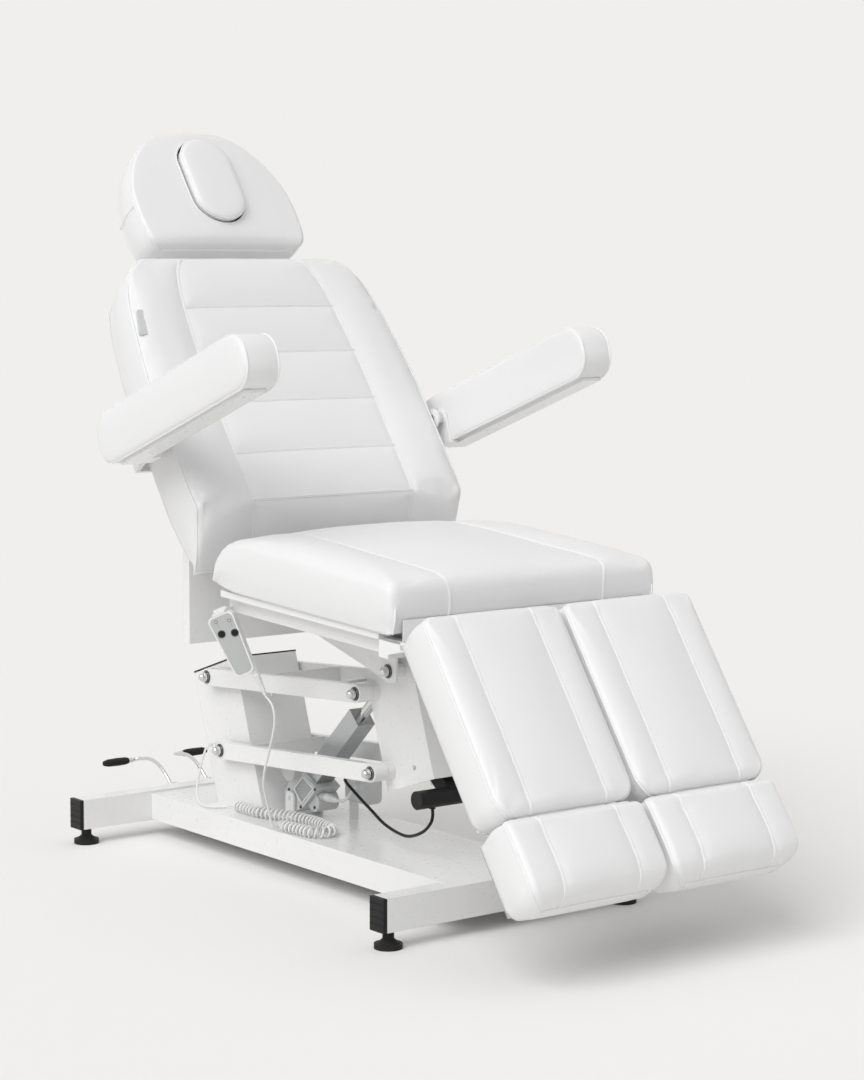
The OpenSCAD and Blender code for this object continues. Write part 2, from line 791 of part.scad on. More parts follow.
// Carriage: a leaning channel that the links carry
module carriage() {
    color("white") on_carriage() difference() {
        union() {
            both_sides() box(car_x - sheet, car_x, -car_depth + car_rear_u, car_rear_u, -car_down, car_up);
            box(-car_x, car_x, -car_depth + car_rear_u, -car_depth + car_rear_u + sheet, -car_down, car_up);
            both_sides() for (v = [0, -link_gap]) rod_x(car_x, car_boss_end, boss_d, 0, v);
            both_sides() rod_x(car_x, gusset_x - move_gap, boss_d * 0.8, seat_pivot_u, seat_pivot_v);
            both_sides() rod_x(tilt_tube_d / 2 + move_gap, car_x, act_pin_d * 1.6, tilt_foot_u, -tilt_foot_v);
        }
        for (v = [0, -link_gap]) rod_x(-arm_x0, arm_x0, pin_d + 2 * run_gap, 0, v);
        rod_x(-arm_x0, arm_x0, pin_d + 2 * run_gap, seat_pivot_u, seat_pivot_v);
        rod_x(-car_w, car_w, act_pin_d + 2 * run_gap, tilt_foot_u, -tilt_foot_v);
    }
}

module carriage_pivot_bolts() {
    color("silver") {
        through_bolt(arm_x1 + move_gap, pin_d, p3_y, p3_z);
        through_bolt(arm_x1 + move_gap, pin_d, p4_y, p4_z);
        rod_x(-car_x, car_x, act_pin_d, tilt_foot_y, tilt_foot_z);
    }
}

// Lift actuator: +Y of its frame of reference runs from the foot pivot to the top pivot
module rod_y(y0, y1, d, x = 0, z = 0) {
    translate([x, y0, z]) rotate([-90, 0, 0]) cylinder(d = d, h = y1 - y0);
}

module lift_gearbox() {
    color("#e4e4e2") union() {
        on_lift() difference() {
            union() {
                yz(-gear_w / 2, gear_w / 2) polygon(gear_outline);
                rod_x(lobe_x0, gear_w / 2, lobe_d, lobe_at[0], lobe_at[1]);
                rod_x(-motor_half, motor_half, motor_d, motor_at[0], motor_at[1]);
            }
            yz(-gear_w / 2 - over, -gear_w / 2 + label_depth) polygon(label_outline);
            box(-strut_w / 2, strut_w / 2, gear_in, strut_len, -strut_w / 2, strut_w / 2);
        }
        on_lift() both_sides() rod_x(gear_w / 4, gear_w / 2 + ear_gap + ear_t, act_pin_d);
        rod_y(relief_y, relief_y + nose_l, nose_d, relief_x, relief_z);
    }
}

rod_start = 80;

module lift_strut() {
    color("#b4b6b6") on_lift() difference() {
        box(-strut_w / 2, strut_w / 2, gear_in, strut_len, -strut_w / 2, strut_w / 2);
        rod_y(rod_start / 2, strut_len + over, rod_d + 2 * run_gap);
    }
}

module lift_rod() {
    color("silver") on_lift() difference() {
        union() {
            rod_y(rod_start, act_len - eye_d / 2 + eye_wall, rod_d);
            rod_x(-eye_t / 2, eye_t / 2, eye_d, act_len, 0);
        }
        rod_x(-eye_t, eye_t, act_pin_d + 2 * act_slack, act_len, 0);
    }
}

// Ribbed strain relief along +Z: a tapering tube whose ribs are two rings of eight each
function rib_rings(l, d0, d1, ribs, rise) = concat([[0, d0]], [for (i = [0:ribs - 1])
    let (z = l * (0.12 + 0.76 * i / ribs), d = d0 + (d1 - d0) * i / ribs, w = l * 0.3 / ribs)
    each [[z, d + rise], [z + w, d + rise], [z + w * 1.3, d], [z + w * 2.2, d]]], [[l, d1]]);

module relief(l, d0, d1, ribs, rise) {
    loft([for (r = rib_rings(l, d0, d1, ribs, rise))
        [for (k = [0:7]) [r[1] / 2 * cos(k * 45), -r[1] / 2 * sin(k * 45), r[0]]]]);
}

motor_relief_d = [15, 9];
relief_rise = 3;

module motor_strain_relief() {
    color("white") translate([relief_x, relief_y, relief_z]) rotate([90, 0, 0])
        relief(relief_l, motor_relief_d[0], motor_relief_d[1], 4, relief_rise);
}

motor_points = [[-8, -2, 138.5], [-7, -14, 141], [-4, -24, 149], [2, -29, 160], [12, -24, 168],
    [22, -13, 170], [28, -10, 170]];

module motor_cable() {
    color("white") tube(concat([[relief_x, relief_y - relief_l, relief_z]], spline(motor_points, 2),
        [[box_x0, -10, 170]]), cable_d, 8);
}

// Tilt actuator: +Y of its frame of reference runs up to the seat frame
module tilt_actuator() {
    color("#333333") union() {
        on_tilt() difference() {
            union() {
                rod_y(0, tilt_len * 0.62, tilt_tube_d);
                rod_x(-tilt_tube_d / 2, tilt_tube_d / 2, tilt_tube_d);
                yz(-tilt_tube_d / 2, tilt_tube_d / 2) polygon(tilt_gear_outline);
                rod_x(tilt_motor_x[0], tilt_motor_x[1], tilt_motor_d, tilt_motor_at[0], tilt_motor_at[1]);
            }
            rod_x(-tilt_tube_d, tilt_tube_d, act_pin_d + 2 * run_gap);
            rod_y(tilt_len * 0.2, tilt_len, tilt_rod_d + 2 * run_gap);
        }
        translate(tilt_gland) cylinder(d = tilt_gland_d, h = tilt_gland_l);
    }
}

module tilt_rod() {
    color("silver") on_tilt() difference() {
        union() {
            rod_y(tilt_len * 0.25, tilt_len - act_pin_d / 2 - eye_wall / 2, tilt_rod_d);
            rod_x(-eye_t / 2, eye_t / 2, act_pin_d + 2 * tilt_slack + 2 * eye_wall, tilt_len, 0);
        }
        rod_x(-eye_t, eye_t, act_pin_d + 2 * tilt_slack, tilt_len, 0);
    }
}

tilt_cable_points = [[26, -14, 188], [14, -18, 189], [0, -26, 189], [-20, -38, 186], [-24, -84, 165],
    [-28, -134, 145], [-33, -182, 128], [-38, -235, 120], tilt_gland + [7, 73.7, -65], tilt_gland + [3, 30.7, -48],
    tilt_gland + [0, 5.7, -28], tilt_gland - [0, 0, 14], tilt_gland - [0, 0, 6]];

module tilt_cable() {
    color("#222222") tube(concat([[box_x0, -14, 188]], spline(tilt_cable_points, 2), [tilt_gland]), cable_d, 8);
}

// Seat frame: rails, cross rails, pivot gussets, lugs and the front angle
rail_past = 4;
gusset_in = 2;
gusset_ahead = 30;
gusset_back = seat_l - 286;
gusset_round = [[-24, -18], [2, -22], [30, -11], [gusset_back - 32, 44], [gusset_back - 11, 52], [gusset_back, 68]];

module seat_gusset_outline() {
    h = -board_t - gusset_in;
    polygon(concat([for (p = gusset_round) [p5_y + p[0], p5_z + p[1]]],
        [[seat_py(seat_l + rail_past, h), seat_pz(seat_l + rail_past, h)],
        [seat_py(seat_ahead - gusset_ahead, h), seat_pz(seat_ahead - gusset_ahead, h)],
        [p5_y - 25, p5_z + 52]]));
}

rail_low = -board_t - rail_h;
seat_cross = [22, seat_l - 32];
cross_w = 26;
angle_ahead = 4;
ear_half = 14;
spring_gap = 3;
plate_t = 3;

module seat_frame() {
    color("white") difference() {
        union() {
            on_seat() {
                both_sides() box(rail_x - gusset_t / 2, rail_x + rail_w, seat_cross[0], seat_l + rail_past,
                    rail_low, -board_t);
                box(-leg_x - leg_lug_x, leg_x + leg_lug_x, seat_cross[0], seat_cross[0] + cross_w,
                    rail_low, -board_t);
                box(-cross_x, cross_x, seat_cross[1], seat_cross[1] + cross_w, rail_low, -board_t);
                both_sides() box(cross_x - rail_w, cross_x, seat_cross[0], seat_cross[1] + cross_w,
                    rail_low, -board_t);
                for (k = [-1, 1]) spring_ear(spring_x + k * (spring_tube_d / 2 + spring_gap + lug_t / 2));
                both_sides() box(eye_t / 2 + eye_gap, eye_t / 2 + eye_gap + lug_t,
                    tilt_top_s - ear_half, tilt_top_s + ear_half, tilt_top_h - act_pin_d, -board_t);
                box(-rail_x - rail_w / 2, rail_x + rail_w / 2, spring_foot_s - ear_half, tilt_top_s + ear_half * 2,
                    -board_t - plate_t, -board_t);
                box(-cross_x - ear_half, cross_x + ear_half, -angle_ahead, seat_cross[0] + cross_w,
                    -board_t, -board_t + angle_t);
                box(-cross_x - ear_half, cross_x + ear_half, -angle_ahead, -angle_ahead + angle_t,
                    -board_t, -board_t + angle_h);
            }
            both_sides() yz(gusset_x, rail_x) seat_gusset_outline();
            both_sides() for (k = [-1, 1]) {
                x = back_rail_x + k * (back_rail_w + lug_t + 2 * move_gap) / 2;
                yz(x - lug_t / 2, x + lug_t / 2) hinge_lug();
            }
            both_sides() for (k = [-1, 1]) {
                x = leg_x + k * (leg_lug_x - lug_t / 2);
                yz(x - lug_t / 2, x + lug_t / 2) leg_lug();
            }
        }
        rod_x(-arm_x1, arm_x1, pin_d + 2 * run_gap, p5_y, p5_z);
        both_sides() rod_x(back_rail_x - back_rail_w, back_rail_x + back_rail_w,
            hinge_pin_d + 2 * run_gap, back_hinge_y, back_hinge_z);
        both_sides() for (k = [-1, 1]) {
            x = leg_x + k * leg_lug_x;
            rod_x(x - 2 * lug_t, x + 2 * lug_t, leg_pin_d + 2 * run_gap, leg_hinge_y, leg_hinge_z);
        }
        rod_x(-ear_x, ear_x, act_pin_d + 2 * run_gap, tilt_top_y, tilt_top_z);
        rod_x(spring_x - spring_tube_d, spring_x + spring_tube_d, spring_pin_d + 2 * run_gap,
            spring_foot_y, spring_foot_z);
    }
}

module spring_ear(x) {
    box(x - lug_t / 2, x + lug_t / 2, spring_foot_s - ear_half, spring_foot_s + ear_half,
        spring_foot_h - spring_pin_d, -board_t);
}

module hinge_lug() {
    behind = seat_l - board_in + move_gap;
    polygon([[seat_py(seat_cross[1], -board_t), seat_pz(seat_cross[1], -board_t)],
        [seat_py(seat_cross[1], rail_low), seat_pz(seat_cross[1], rail_low)],
        [back_hinge_y, back_hinge_z - hinge_lug_r * 0.95], [back_hinge_y, back_hinge_z + hinge_lug_r * 0.9],
        [seat_py(behind, -board_t), seat_pz(behind, -board_t)]]);
    translate([back_hinge_y, back_hinge_z]) circle(r = hinge_lug_r);
}

module leg_lug() {
    polygon([[seat_py(seat_cross[0] + cross_w, -board_t), seat_pz(seat_cross[0] + cross_w, -board_t)],
        [seat_py(seat_cross[0] + cross_w, rail_low), seat_pz(seat_cross[0] + cross_w, rail_low)],
        [leg_hinge_y, leg_hinge_z - barrel_d * 0.47], [leg_hinge_y, leg_hinge_z + barrel_d * 0.25]]);
    translate([leg_hinge_y, leg_hinge_z]) circle(d = barrel_d);
}

module seat_pivot_bolts() {
    color("silver") through_bolt(rail_x + move_gap, pin_d, p5_y, p5_z);
}

board_gap = 2;

module seat_board() {
    color("white") on_seat() box(-seat_w / 2 + board_in, seat_w / 2 - board_in, seat_cross[0] + cross_w + board_gap,
        seat_l - board_in, -board_t, -soft_gap);
}

// Rows along the cushions, as shares of their lengths and thicknesses
seat_rows = [[0, 0.965, 0.06, 0.72, 0, 0], [0.005, 0.985, 0.02, 0.86, 0.2, 0], [0.025, 1, 0, 0.96, 0.5, 0],
    [0.06, 1, 0, 0.99, 0.8, 0], [0.3, 1, 0, 1.04, 1, 0], [0.6, 1, 0, 1.09, 1.2, 0], [0.76, 1, 0.02, 1.1, 1.4, 0],
    [0.86, 1, 0.03, 1.05, 1.2, 0], [0.93, 1, 0.04, 0.92, 0.8, 0], [0.975, 0.995, 0.06, 0.7, 0.4, 0],
    [1, 0.98, 0.14, 0.42, 0, 0]];

module seat_cushion() {
    color("white") on_seat() pad([for (r = seat_rows)
        [r[0] * seat_l, r[1] * seat_w / 2, r[2] * seat_t, r[3] * seat_t, r[4], r[5]]],
        seam_list(seam_share, 0.025), crown, seam_share, seat_foot);
}

module hinge_pins() {
    color("silver") {
        both_sides() rod_x(back_rail_x - back_rail_w / 2 - lug_t - move_gap,
            back_rail_x + back_rail_w / 2 + lug_t + move_gap, hinge_pin_d, back_hinge_y, back_hinge_z);
        both_sides() rod_x(leg_x - leg_lug_x, leg_x + leg_lug_x, leg_pin_d, leg_hinge_y, leg_hinge_z);
        rod_x(-eye_t / 2 - eye_gap - lug_t, eye_t / 2 + eye_gap + lug_t, act_pin_d, tilt_top_y, tilt_top_z);
        rod_x(spring_x - spring_tube_d / 2 - spring_gap - lug_t, spring_x + spring_tube_d / 2 + spring_gap + lug_t,
            spring_pin_d, spring_foot_y, spring_foot_z);
    }
}

// Back
module back_frame() {
    color("white") difference() {
        union() {
            on_back() {
                both_sides() {
                    box(back_rail_x - back_rail_w / 2, back_rail_x + back_rail_w / 2, hinge_lug_r,
                        back_start + back_l * 0.72, back_lo - board_t - back_rail_w, back_lo - board_t);
                    box(back_rail_x - back_rail_w / 2, back_rail_x + back_rail_w / 2, 0, 2 * hinge_lug_r,
                        -hinge_lug_r, hinge_lug_r * 0.3);
                    rod_x(back_rail_x - back_rail_w / 2, back_rail_x + back_rail_w / 2, 2 * hinge_lug_r);
                    box(back_rail_x, bracket_x, rest_pivot_t - bracket_half, rest_pivot_t + bracket_half,
                        back_lo - board_t - bracket_t, back_lo - board_t);
                    box(bracket_x, bracket_x + bracket_t, rest_pivot_t - bracket_half,
                        rest_pivot_t + bracket_half, back_lo - board_t - bracket_t, rest_pivot_n);
                    rod_x(bracket_x, bracket_x + bracket_t, 2 * bracket_half, rest_pivot_t, rest_pivot_n);
                }
                for (t = [0.2, 0.68]) box(-back_rail_x, back_rail_x, back_start + back_l * t,
                    back_start + back_l * t + back_rail_w, back_lo - board_t - back_rail_w, back_lo - board_t);
            }
            apron();
            rod_x(spring_x - spring_ear_x, spring_x + spring_ear_x, spring_pin_d, spring_top_y, spring_top_z);
        }
        both_sides() rod_x(back_rail_x - back_rail_w, back_rail_x + back_rail_w, hinge_pin_d + 2 * run_gap,
            back_hinge_y, back_hinge_z);
        both_sides() rod_x(bracket_x - over, rest_x0, rest_pin_d, rest_pivot_y, rest_pivot_z);
    }
}

// The apron hangs behind the hinge, with flanges at its ends and ears for the gas spring
module apron() {
    y = back_hinge_y + apron_behind;
    z = back_hinge_z;
    box(-apron_w / 2, apron_w / 2, y, y + apron_t, z - apron_low, z + apron_top);
    both_sides() box(apron_w / 2 - apron_t, apron_w / 2, y, y + apron_flange, z - apron_low, z + apron_top);
    for (k = [-1, 1]) yz(spring_x + k * spring_ear_x - spring_ear_w / 2, spring_x + k * spring_ear_x + spring_ear_w / 2)
        union() {
            translate([spring_top_y, spring_top_z - spring_ear_x]) square([y - spring_top_y, 2 * spring_ear_x]);
            translate([spring_top_y, spring_top_z]) circle(r = spring_ear_x);
        }
}

module back_board() {
    color("white") on_back() box(-back_w / 2 + 3 * board_in, back_w / 2 - 3 * board_in, back_start + board_in,
        back_start + back_l - 3 * board_in, back_lo - board_t, back_lo - soft_gap);
}

back_seam_shares = [0.133, 0.295, 0.472, 0.647, 0.814];
back_side_shares = [[0, 0.929], [0.042, 0.961], [0.1, 0.981], [0.2, 1], [0.525, 1], [0.65, 0.981], [0.76, 0.955],
    [0.84, 0.93], [0.9, 0.897], [0.956, 0.84], [0.985, 0.775], [1, 0.735]];
back_low_shares = [[0, 0], [0.95, 0], [0.985, 0.01], [1, 0.04]];
back_high_shares = [[0, 0.09], [0.042, 0.53], [0.1, 0.84], [0.133, 1], [0.97, 1], [0.985, 0.985], [1, 0.94]];
back_crown_shares = [[0, 0], [0.042, 0.2], [0.1, 0.7], [0.133, 1], [0.88, 1], [0.956, 0.7], [1, 0.1]];
back_step_shares = concat([0, 0.02, 0.042, 0.08], [for (s = back_seam_shares) for (k = [-1, 0, 1]) s + k * 0.018],
    [0.9, 0.956, 0.985, 1]);
back_crown_share = 0.7;
function back_channel(s) = max([for (m = back_seam_shares) s == m ? 1 : 0]);
function back_row(s) = [s * back_l, lookup(s, back_side_shares) * back_w / 2,
    lookup(s, back_low_shares) * back_t, lookup(s, back_high_shares) * back_t,
    lookup(s, back_crown_shares), back_channel(s)];

module back_cushion() {
    color("white") on_back() difference() {
        translate([0, back_start, back_lo]) pad([for (s = back_step_shares) back_row(s)],
            seam_list(seam_share, 0.025), crown * back_crown_share, seam_share, back_foot);
        for (x = [-post_x, post_x]) translate([x, back_start + back_l - post_in - over, post_n])
            rotate([-90, 0, 0]) cylinder(d = post_d + 2 * soft_gap, h = post_in * 2);
    }
}

module back_spring_tube() {
    color("#333333") on_spring() difference() {
        union() {
            rod_y(0, spring_len * spring_tube_share, spring_tube_d);
            rod_x(-spring_tube_d / 2, spring_tube_d / 2, spring_tube_d * 0.8);
        }
        rod_x(-spring_tube_d, spring_tube_d, spring_pin_d + 2 * run_gap);
        rod_y(spring_len * spring_bore_share, spring_len, spring_rod_d + 2 * run_gap);
    }
}

spring_eye_t = 8;
spring_eye_wall = 4;
spring_eye_d = spring_pin_d + 2 * spring_slack + 2 * spring_eye_wall;

module back_spring_rod() {
    color("silver") on_spring() difference() {
        union() {
            rod_y(spring_len * spring_rod_share, spring_len - spring_eye_d / 2 + spring_eye_wall / 2, spring_rod_d);
            rod_x(-spring_eye_t / 2, spring_eye_t / 2, spring_eye_d, spring_len, 0);
        }
        rod_x(-spring_eye_t, spring_eye_t, spring_pin_d + 2 * spring_slack, spring_len, 0);
    }
}

// Headrest
module headrest_posts() {
    color("silver") on_back() for (x = [-post_x, post_x])
        translate([x, head_start - head_gap - post_in, post_n]) rotate([-90, 0, 0])
            cylinder(d = post_d, h = post_in + head_gap + post_up);
}

head_rows = [[0, 0.84, 0.1, 0.8, 0, 0], [0.02, 0.91, 0.02, 0.94, 0.3, 0], [0.07, 0.965, 0, 1, 0.7, 0],
    [0.16, 0.992, 0, 1, 1, 0], [0.3, 1, 0, 1, 1, 0], [0.45, 0.985, 0, 1, 1, 0], [0.6, 0.915, 0, 1, 1, 0],
    [0.74, 0.8, 0, 1, 0.9, 0], [0.85, 0.655, 0, 1, 0.8, 0], [0.93, 0.49, 0.01, 0.98, 0.6, 0],
    [0.98, 0.31, 0.04, 0.92, 0.3, 0], [1, 0.17, 0.15, 0.8, 0, 0]];

module oval(w, l, h) {
    linear_extrude(h) union() {
        translate([0, (l - w) / 2]) circle(d = w);
        translate([0, (w - l) / 2]) circle(d = w);
        translate([-w / 2, (w - l) / 2]) square([w, l - w]);
    }
}

module headrest_cushion() {
    color("white") on_back() difference() {
        translate([0, head_start, head_lo]) pad([for (r = head_rows)
            [r[0] * head_l, r[1] * head_w / 2, r[2] * head_t, r[3] * head_t, r[4], r[5]]],
            even_shares, crown, 2, head_foot);
        translate([0, head_start + head_l * plug_mid_share, head_lo - over])
            oval(plug_w + 2 * plug_gap, plug_l + 2 * plug_gap, head_t + 4 * crown);
        for (x = [-post_x, post_x]) translate([x, head_start - over, post_n])
            rotate([-90, 0, 0]) cylinder(d = post_d + 2 * run_gap, h = post_up + over);
    }
}

// The plug's rows run across its thickness, from its hidden end to its crowned face
plug_rows = [[0.06, 0.93], [0.1, 0.985], [0.75, 0.985], [0.8, 1], [0.9, 0.99], [0.96, 0.9], [0.99, 0.62], [1, 0.3]];
plug_sides = 24;

module face_plug() {
    depth = head_t + plug_proud;
    color("white") on_back() translate([0, head_start + head_l * plug_mid_share, head_lo])
        loft([for (r = plug_rows) [for (k = [0:plug_sides - 1])
            let (a = -360 * k / plug_sides, w = plug_w / 2 * r[1], l = (plug_l - plug_w) / 2 * r[1])
            [w * cos(a), w * sin(a) + sign(sin(a)) * l, depth * r[0]]]]);
}

// Armrests: -Y of their frame of reference points forwards
module rest_plate(side) {
    color("white") scale([side, 1, 1]) on_rest() difference() {
        union() {
            box(rest_x0 + rest_w * 0.2, rest_x0 + rest_w * 0.8, -rest_l * 0.8, rest_tail * 0.3,
                -rest_h / 2 - rest_plate_t, -rest_h / 2 - soft_gap);
            box(rest_x0 - rest_plate_t, rest_x0 - soft_gap, -rest_tab, rest_tab, -rest_h / 2 - rest_plate_t, 0);
            box(rest_x0 - rest_plate_t, rest_x0 + rest_w * 0.5, -rest_tab, rest_tab, -rest_h / 2 - rest_plate_t, -rest_h / 2 - soft_gap);
            rod_x(rest_x0 - rest_plate_t, rest_x0 - soft_gap, 36);
        }
        rod_x(rest_x0 - 2 * rest_plate_t, rest_x0 + over, rest_pin_d + 2 * run_gap);
    }
}

module armrest_plate_left() { rest_plate(-1); }
module armrest_plate_right() { rest_plate(1); }

module armrest_pivots() {
    color("silver") both_sides() {
        rod_x(bracket_x, rest_x0 - soft_gap - over, rest_pin_d, rest_pivot_y, rest_pivot_z);
        rod_x(bracket_x + bracket_t, rest_x0 - rest_plate_t - move_gap, rest_pin_d * 1.6, rest_pivot_y, rest_pivot_z);
    }
}

rest_rows = [[0, 0.3, 0.2, 0.8], [0.012, 0.52, 0.06, 0.94], [0.04, 0.76, 0, 1], [0.08, 0.93, 0, 1], [0.14, 1, 0, 1],
    [0.5, 1, 0, 1], [0.86, 1, 0, 1], [0.92, 0.93, 0, 1], [0.96, 0.76, 0, 1], [0.988, 0.52, 0.06, 0.94],
    [1, 0.3, 0.2, 0.8]];

// The pad lies on its side: its rows run along the arm and its thickness along X
rest_bulge = 2;
function rest_ring(r) = let (h = rest_h / 2 * r[1], x0 = rest_w * r[2], x1 = rest_w * r[3], lip = rest_w * 0.1)
    [[x0 + lip, h], [x0, h - lip], [x0, 0], [x0, lip - h], [x0 + lip, -h], [x1 - lip, -h],
    [x1, lip - h], [x1 + rest_bulge, 0], [x1, h - lip], [x1 - lip, h]];

module rest_cushion(side) {
    color("white") scale([side, 1, 1]) on_rest() translate([rest_x0, rest_tail - rest_l, 0])
        loft([for (r = rest_rows) [for (p = rest_ring(r)) [p[0], r[0] * rest_l, p[1]]]]);
}

module armrest_cushion_left() { rest_cushion(-1); }
module armrest_cushion_right() { rest_cushion(1); }

// Leg rests: +Y of their frame of reference points up the leg rest
module leg_frame(side) {
    color("white") on_leg(side) difference() {
        union() {
            rod_x(-leg_lug_x + lug_t + move_gap, leg_lug_x - lug_t - move_gap, barrel_d);
            box(-leg_lug_x + lug_t + move_gap, leg_lug_x - lug_t - move_gap,
                leg_top - leg_l + board_in, 0, 0, leg_board_t);
            for (x = [-guide_x, guide_x]) box(x - guide_w / 2, x + guide_w / 2, -leg_l + guide_end,
                -2 * barrel_d, -guide_w, 0);
        }
        rod_x(-leg_w, leg_w, leg_pin_d + 2 * run_gap);
        for (x = [-guide_x, guide_x]) rod_y(-leg_l, -barrel_d - guide_w, foot_rod_d + 2 * run_gap, x, -guide_w / 2);
    }
}

module leg_frame_left() { leg_frame(-1); }
module leg_frame_right() { leg_frame(1); }

foot_start = leg_l - leg_top + foot_gap;

module foot_frame(side) {
    color("silver") on_leg(side) {
        box(-leg_lug_x, leg_lug_x, -foot_start - foot_l * 0.88, -foot_start - lug_t, 0, leg_board_t);
        for (x = [-guide_x, guide_x]) {
            rod_y(-foot_start - foot_l * 0.8, leg_l * 0.62 - foot_start, foot_rod_d, x, -guide_w / 2);
            box(x - guide_w / 4, x + guide_w / 4, -foot_start - foot_l * 0.75, -foot_start - board_in,
                -guide_w / 2, 0);
        }
    }
}

module foot_frame_left() { foot_frame(-1); }
module foot_frame_right() { foot_frame(1); }

leg_rows = [[0, 0.9, 0.12, 0.8, 0, 0], [0.02, 0.965, 0.03, 0.95, 0.3, 0], [0.06, 1, 0, 1, 0.7, 0],
    [0.3, 1, 0, 1, 1, 0], [0.6, 1, 0, 1, 1, 0], [0.86, 1, 0, 1, 0.9, 0], [0.95, 1, 0, 1, 0.7, 0],
    [0.985, 0.98, 0.01, 0.985, 0.4, 0], [1, 0.95, 0.04, 0.95, 0.1, 0]];
foot_rows = [[0, 0.84, 0.2, 0.6, 0, 0], [0.03, 0.92, 0.08, 0.78, 0.2, 0], [0.09, 0.98, 0.01, 0.95, 0.5, 0],
    [0.18, 1, 0, 1.05, 0.8, 0], [0.35, 1, 0, 1.08, 1, 0], [0.7, 1, 0, 1.08, 1, 0], [0.9, 1, 0, 1.06, 0.7, 0],
    [0.97, 0.985, 0.02, 1, 0.4, 0], [1, 0.94, 0.06, 0.92, 0.1, 0]];

module leg_pad(side, rows, length, start) {
    color("white") on_leg(side) translate([0, start, leg_lo]) pad([for (r = rows)
        [r[0] * length, r[1] * leg_w / 2, r[2] * leg_t, r[3] * leg_t, r[4], r[5]]],
        seam_list(leg_seam_share, 0.04), crown, leg_seam_share, leg_foot);
}

module leg_cushion_left() { leg_pad(-1, leg_rows, leg_l, leg_top - leg_l); }
module leg_cushion_right() { leg_pad(1, leg_rows, leg_l, leg_top - leg_l); }
module foot_cushion_left() { leg_pad(-1, foot_rows, foot_l, -foot_start - foot_l); }
module foot_cushion_right() { leg_pad(1, foot_rows, foot_l, -foot_start - foot_l); }

// Handset: its frame of reference has +X across the face, -Y out of the face, -Z down its length
hand_top_r = 9;
hand_low_r = 10;
hand_low_half = 19.5;
hand_wall = 3;
hand_skin = 1;
face_gap = 0.05;
button_floor = 5;
relief_at = [14.5, -127];
relief_boss_d = 14;

module hand_outline(in = 0) {
    w = hand_w / 2 - in;
    low = hand_low_half - in;
    hull() {
        for (x = [-1, 1]) translate([x * (w - hand_top_r), -hand_top_r - hand_skin - in])
            circle(r = hand_top_r, $fn = lathe_fn);
        for (x = [-1, 1]) translate([x * (low - hand_low_r), -hand_l + hand_low_r + 2 * hand_skin + in])
            circle(r = hand_low_r, $fn = lathe_fn);
    }
}

module button_holes() {
    for (i = [0, 1]) translate([button_x[i], button_floor - hand_t / 2, -hand_l * button_share[i]])
        rotate([90, 0, 0]) cylinder(d = button_d + 2 * move_gap, h = hand_t);
}

module handset_case() {
    color("white") on_hand() difference() {
        union() {
            translate([0, hand_t / 2, 0]) rotate([90, 0, 0]) linear_extrude(hand_t) hand_outline();
            translate([relief_at[0], 0, relief_at[1]]) cylinder(d = relief_boss_d, h = hand_low_r * 2);
        }
        translate([0, hand_skin - hand_t / 2, 0]) rotate([90, 0, 0]) linear_extrude(hand_t) hand_outline(hand_wall);
        button_holes();
    }
}

module handset_face() {
    color("#bfc1c0") on_hand() difference() {
        translate([0, hand_skin - hand_t / 2 - face_gap, 0]) rotate([90, 0, 0])
            linear_extrude(hand_skin) hand_outline(hand_wall + soft_gap);
        button_holes();
    }
}

module hand_button(i) {
    color("#222222") on_hand()
        translate([button_x[i], button_floor - hand_t / 2 - button_travel - soft_gap, -hand_l * button_share[i]])
        rotate([90, 0, 0]) cylinder(d = button_d, h = button_floor - button_travel + button_proud);
}

module button_up() { hand_button(0); }
module button_down() { hand_button(1); }

hand_relief_d = [13, 7];
hand_relief_rise = 2;
hand_relief_l = 44;

module handset_strain_relief() {
    color("white") on_hand() translate([relief_at[0], 0, relief_at[1]]) rotate([180, 0, 0])
        relief(hand_relief_l, hand_relief_d[0], hand_relief_d[1], 8, hand_relief_rise);
}

hook_w = 26;
hook_t = 4;
hook_l = 34;
hook_up = 8;
hook_reach = 15;
hook_arm = [[hand_x + hook_reach, -16, 532.5], [-cross_x, -9, 537.5]];

module handset_hook() {
    color("white") union() {
        on_hand() {
            box(-hook_w / 2, hook_w / 2, hand_t / 2 + soft_gap, hand_t / 2 + soft_gap + hook_t, -hook_l, hook_up);
            box(-hook_w / 2, hook_w / 2, -hand_t / 2, hand_t / 2 + soft_gap + hook_t,
                soft_gap - hand_skin, soft_gap - hand_skin + hook_t);
        }
        box(hook_arm[0][0], hook_arm[1][0], hook_arm[0][1], hook_arm[1][1], hook_arm[0][2], hook_arm[1][2]);
    }
}

// Handset cord: a hanging lead, the curls on the base beam, and a tail to the column
coil_lift = 0.2;
coil_z = beam_top + coil_d / 2 + coil_lift;
function spin_y(p, a) = [p[0] * cos(a) + p[2] * sin(a), p[1], p[2] * cos(a) - p[0] * sin(a)];
function spin_x(p, a) = [p[0], p[1] * cos(a) - p[2] * sin(a), p[1] * sin(a) + p[2] * cos(a)];
function spin_z(p, a) = [p[0] * cos(a) - p[1] * sin(a), p[0] * sin(a) + p[1] * cos(a), p[2]];
function hand_out(p) = [hand_x, hand_y, hand_z]
    + spin_z(spin_x(spin_y(p, -hand_tilt), hand_lean), -hand_turn);
lead_start = hand_out([relief_at[0], 0, relief_at[1] - hand_relief_l]);
lead_next = hand_out([relief_at[0], 0, relief_at[1] - hand_relief_l - cord_d]);
lead_end = [-128.5, 36, 97];
lead_points = [[-217.6, -73, 366], [-215, -81, 354], [-212, -82, 333], [-207, -72, 311], [-202, -58, 290],
    [-193, -32, 253], [-183, -4, 215], [-171, 16, 184], [-156, 27, 149], [-144, 34, 118], [-137, 36, 101],
    [-132.8, 36, 97]];
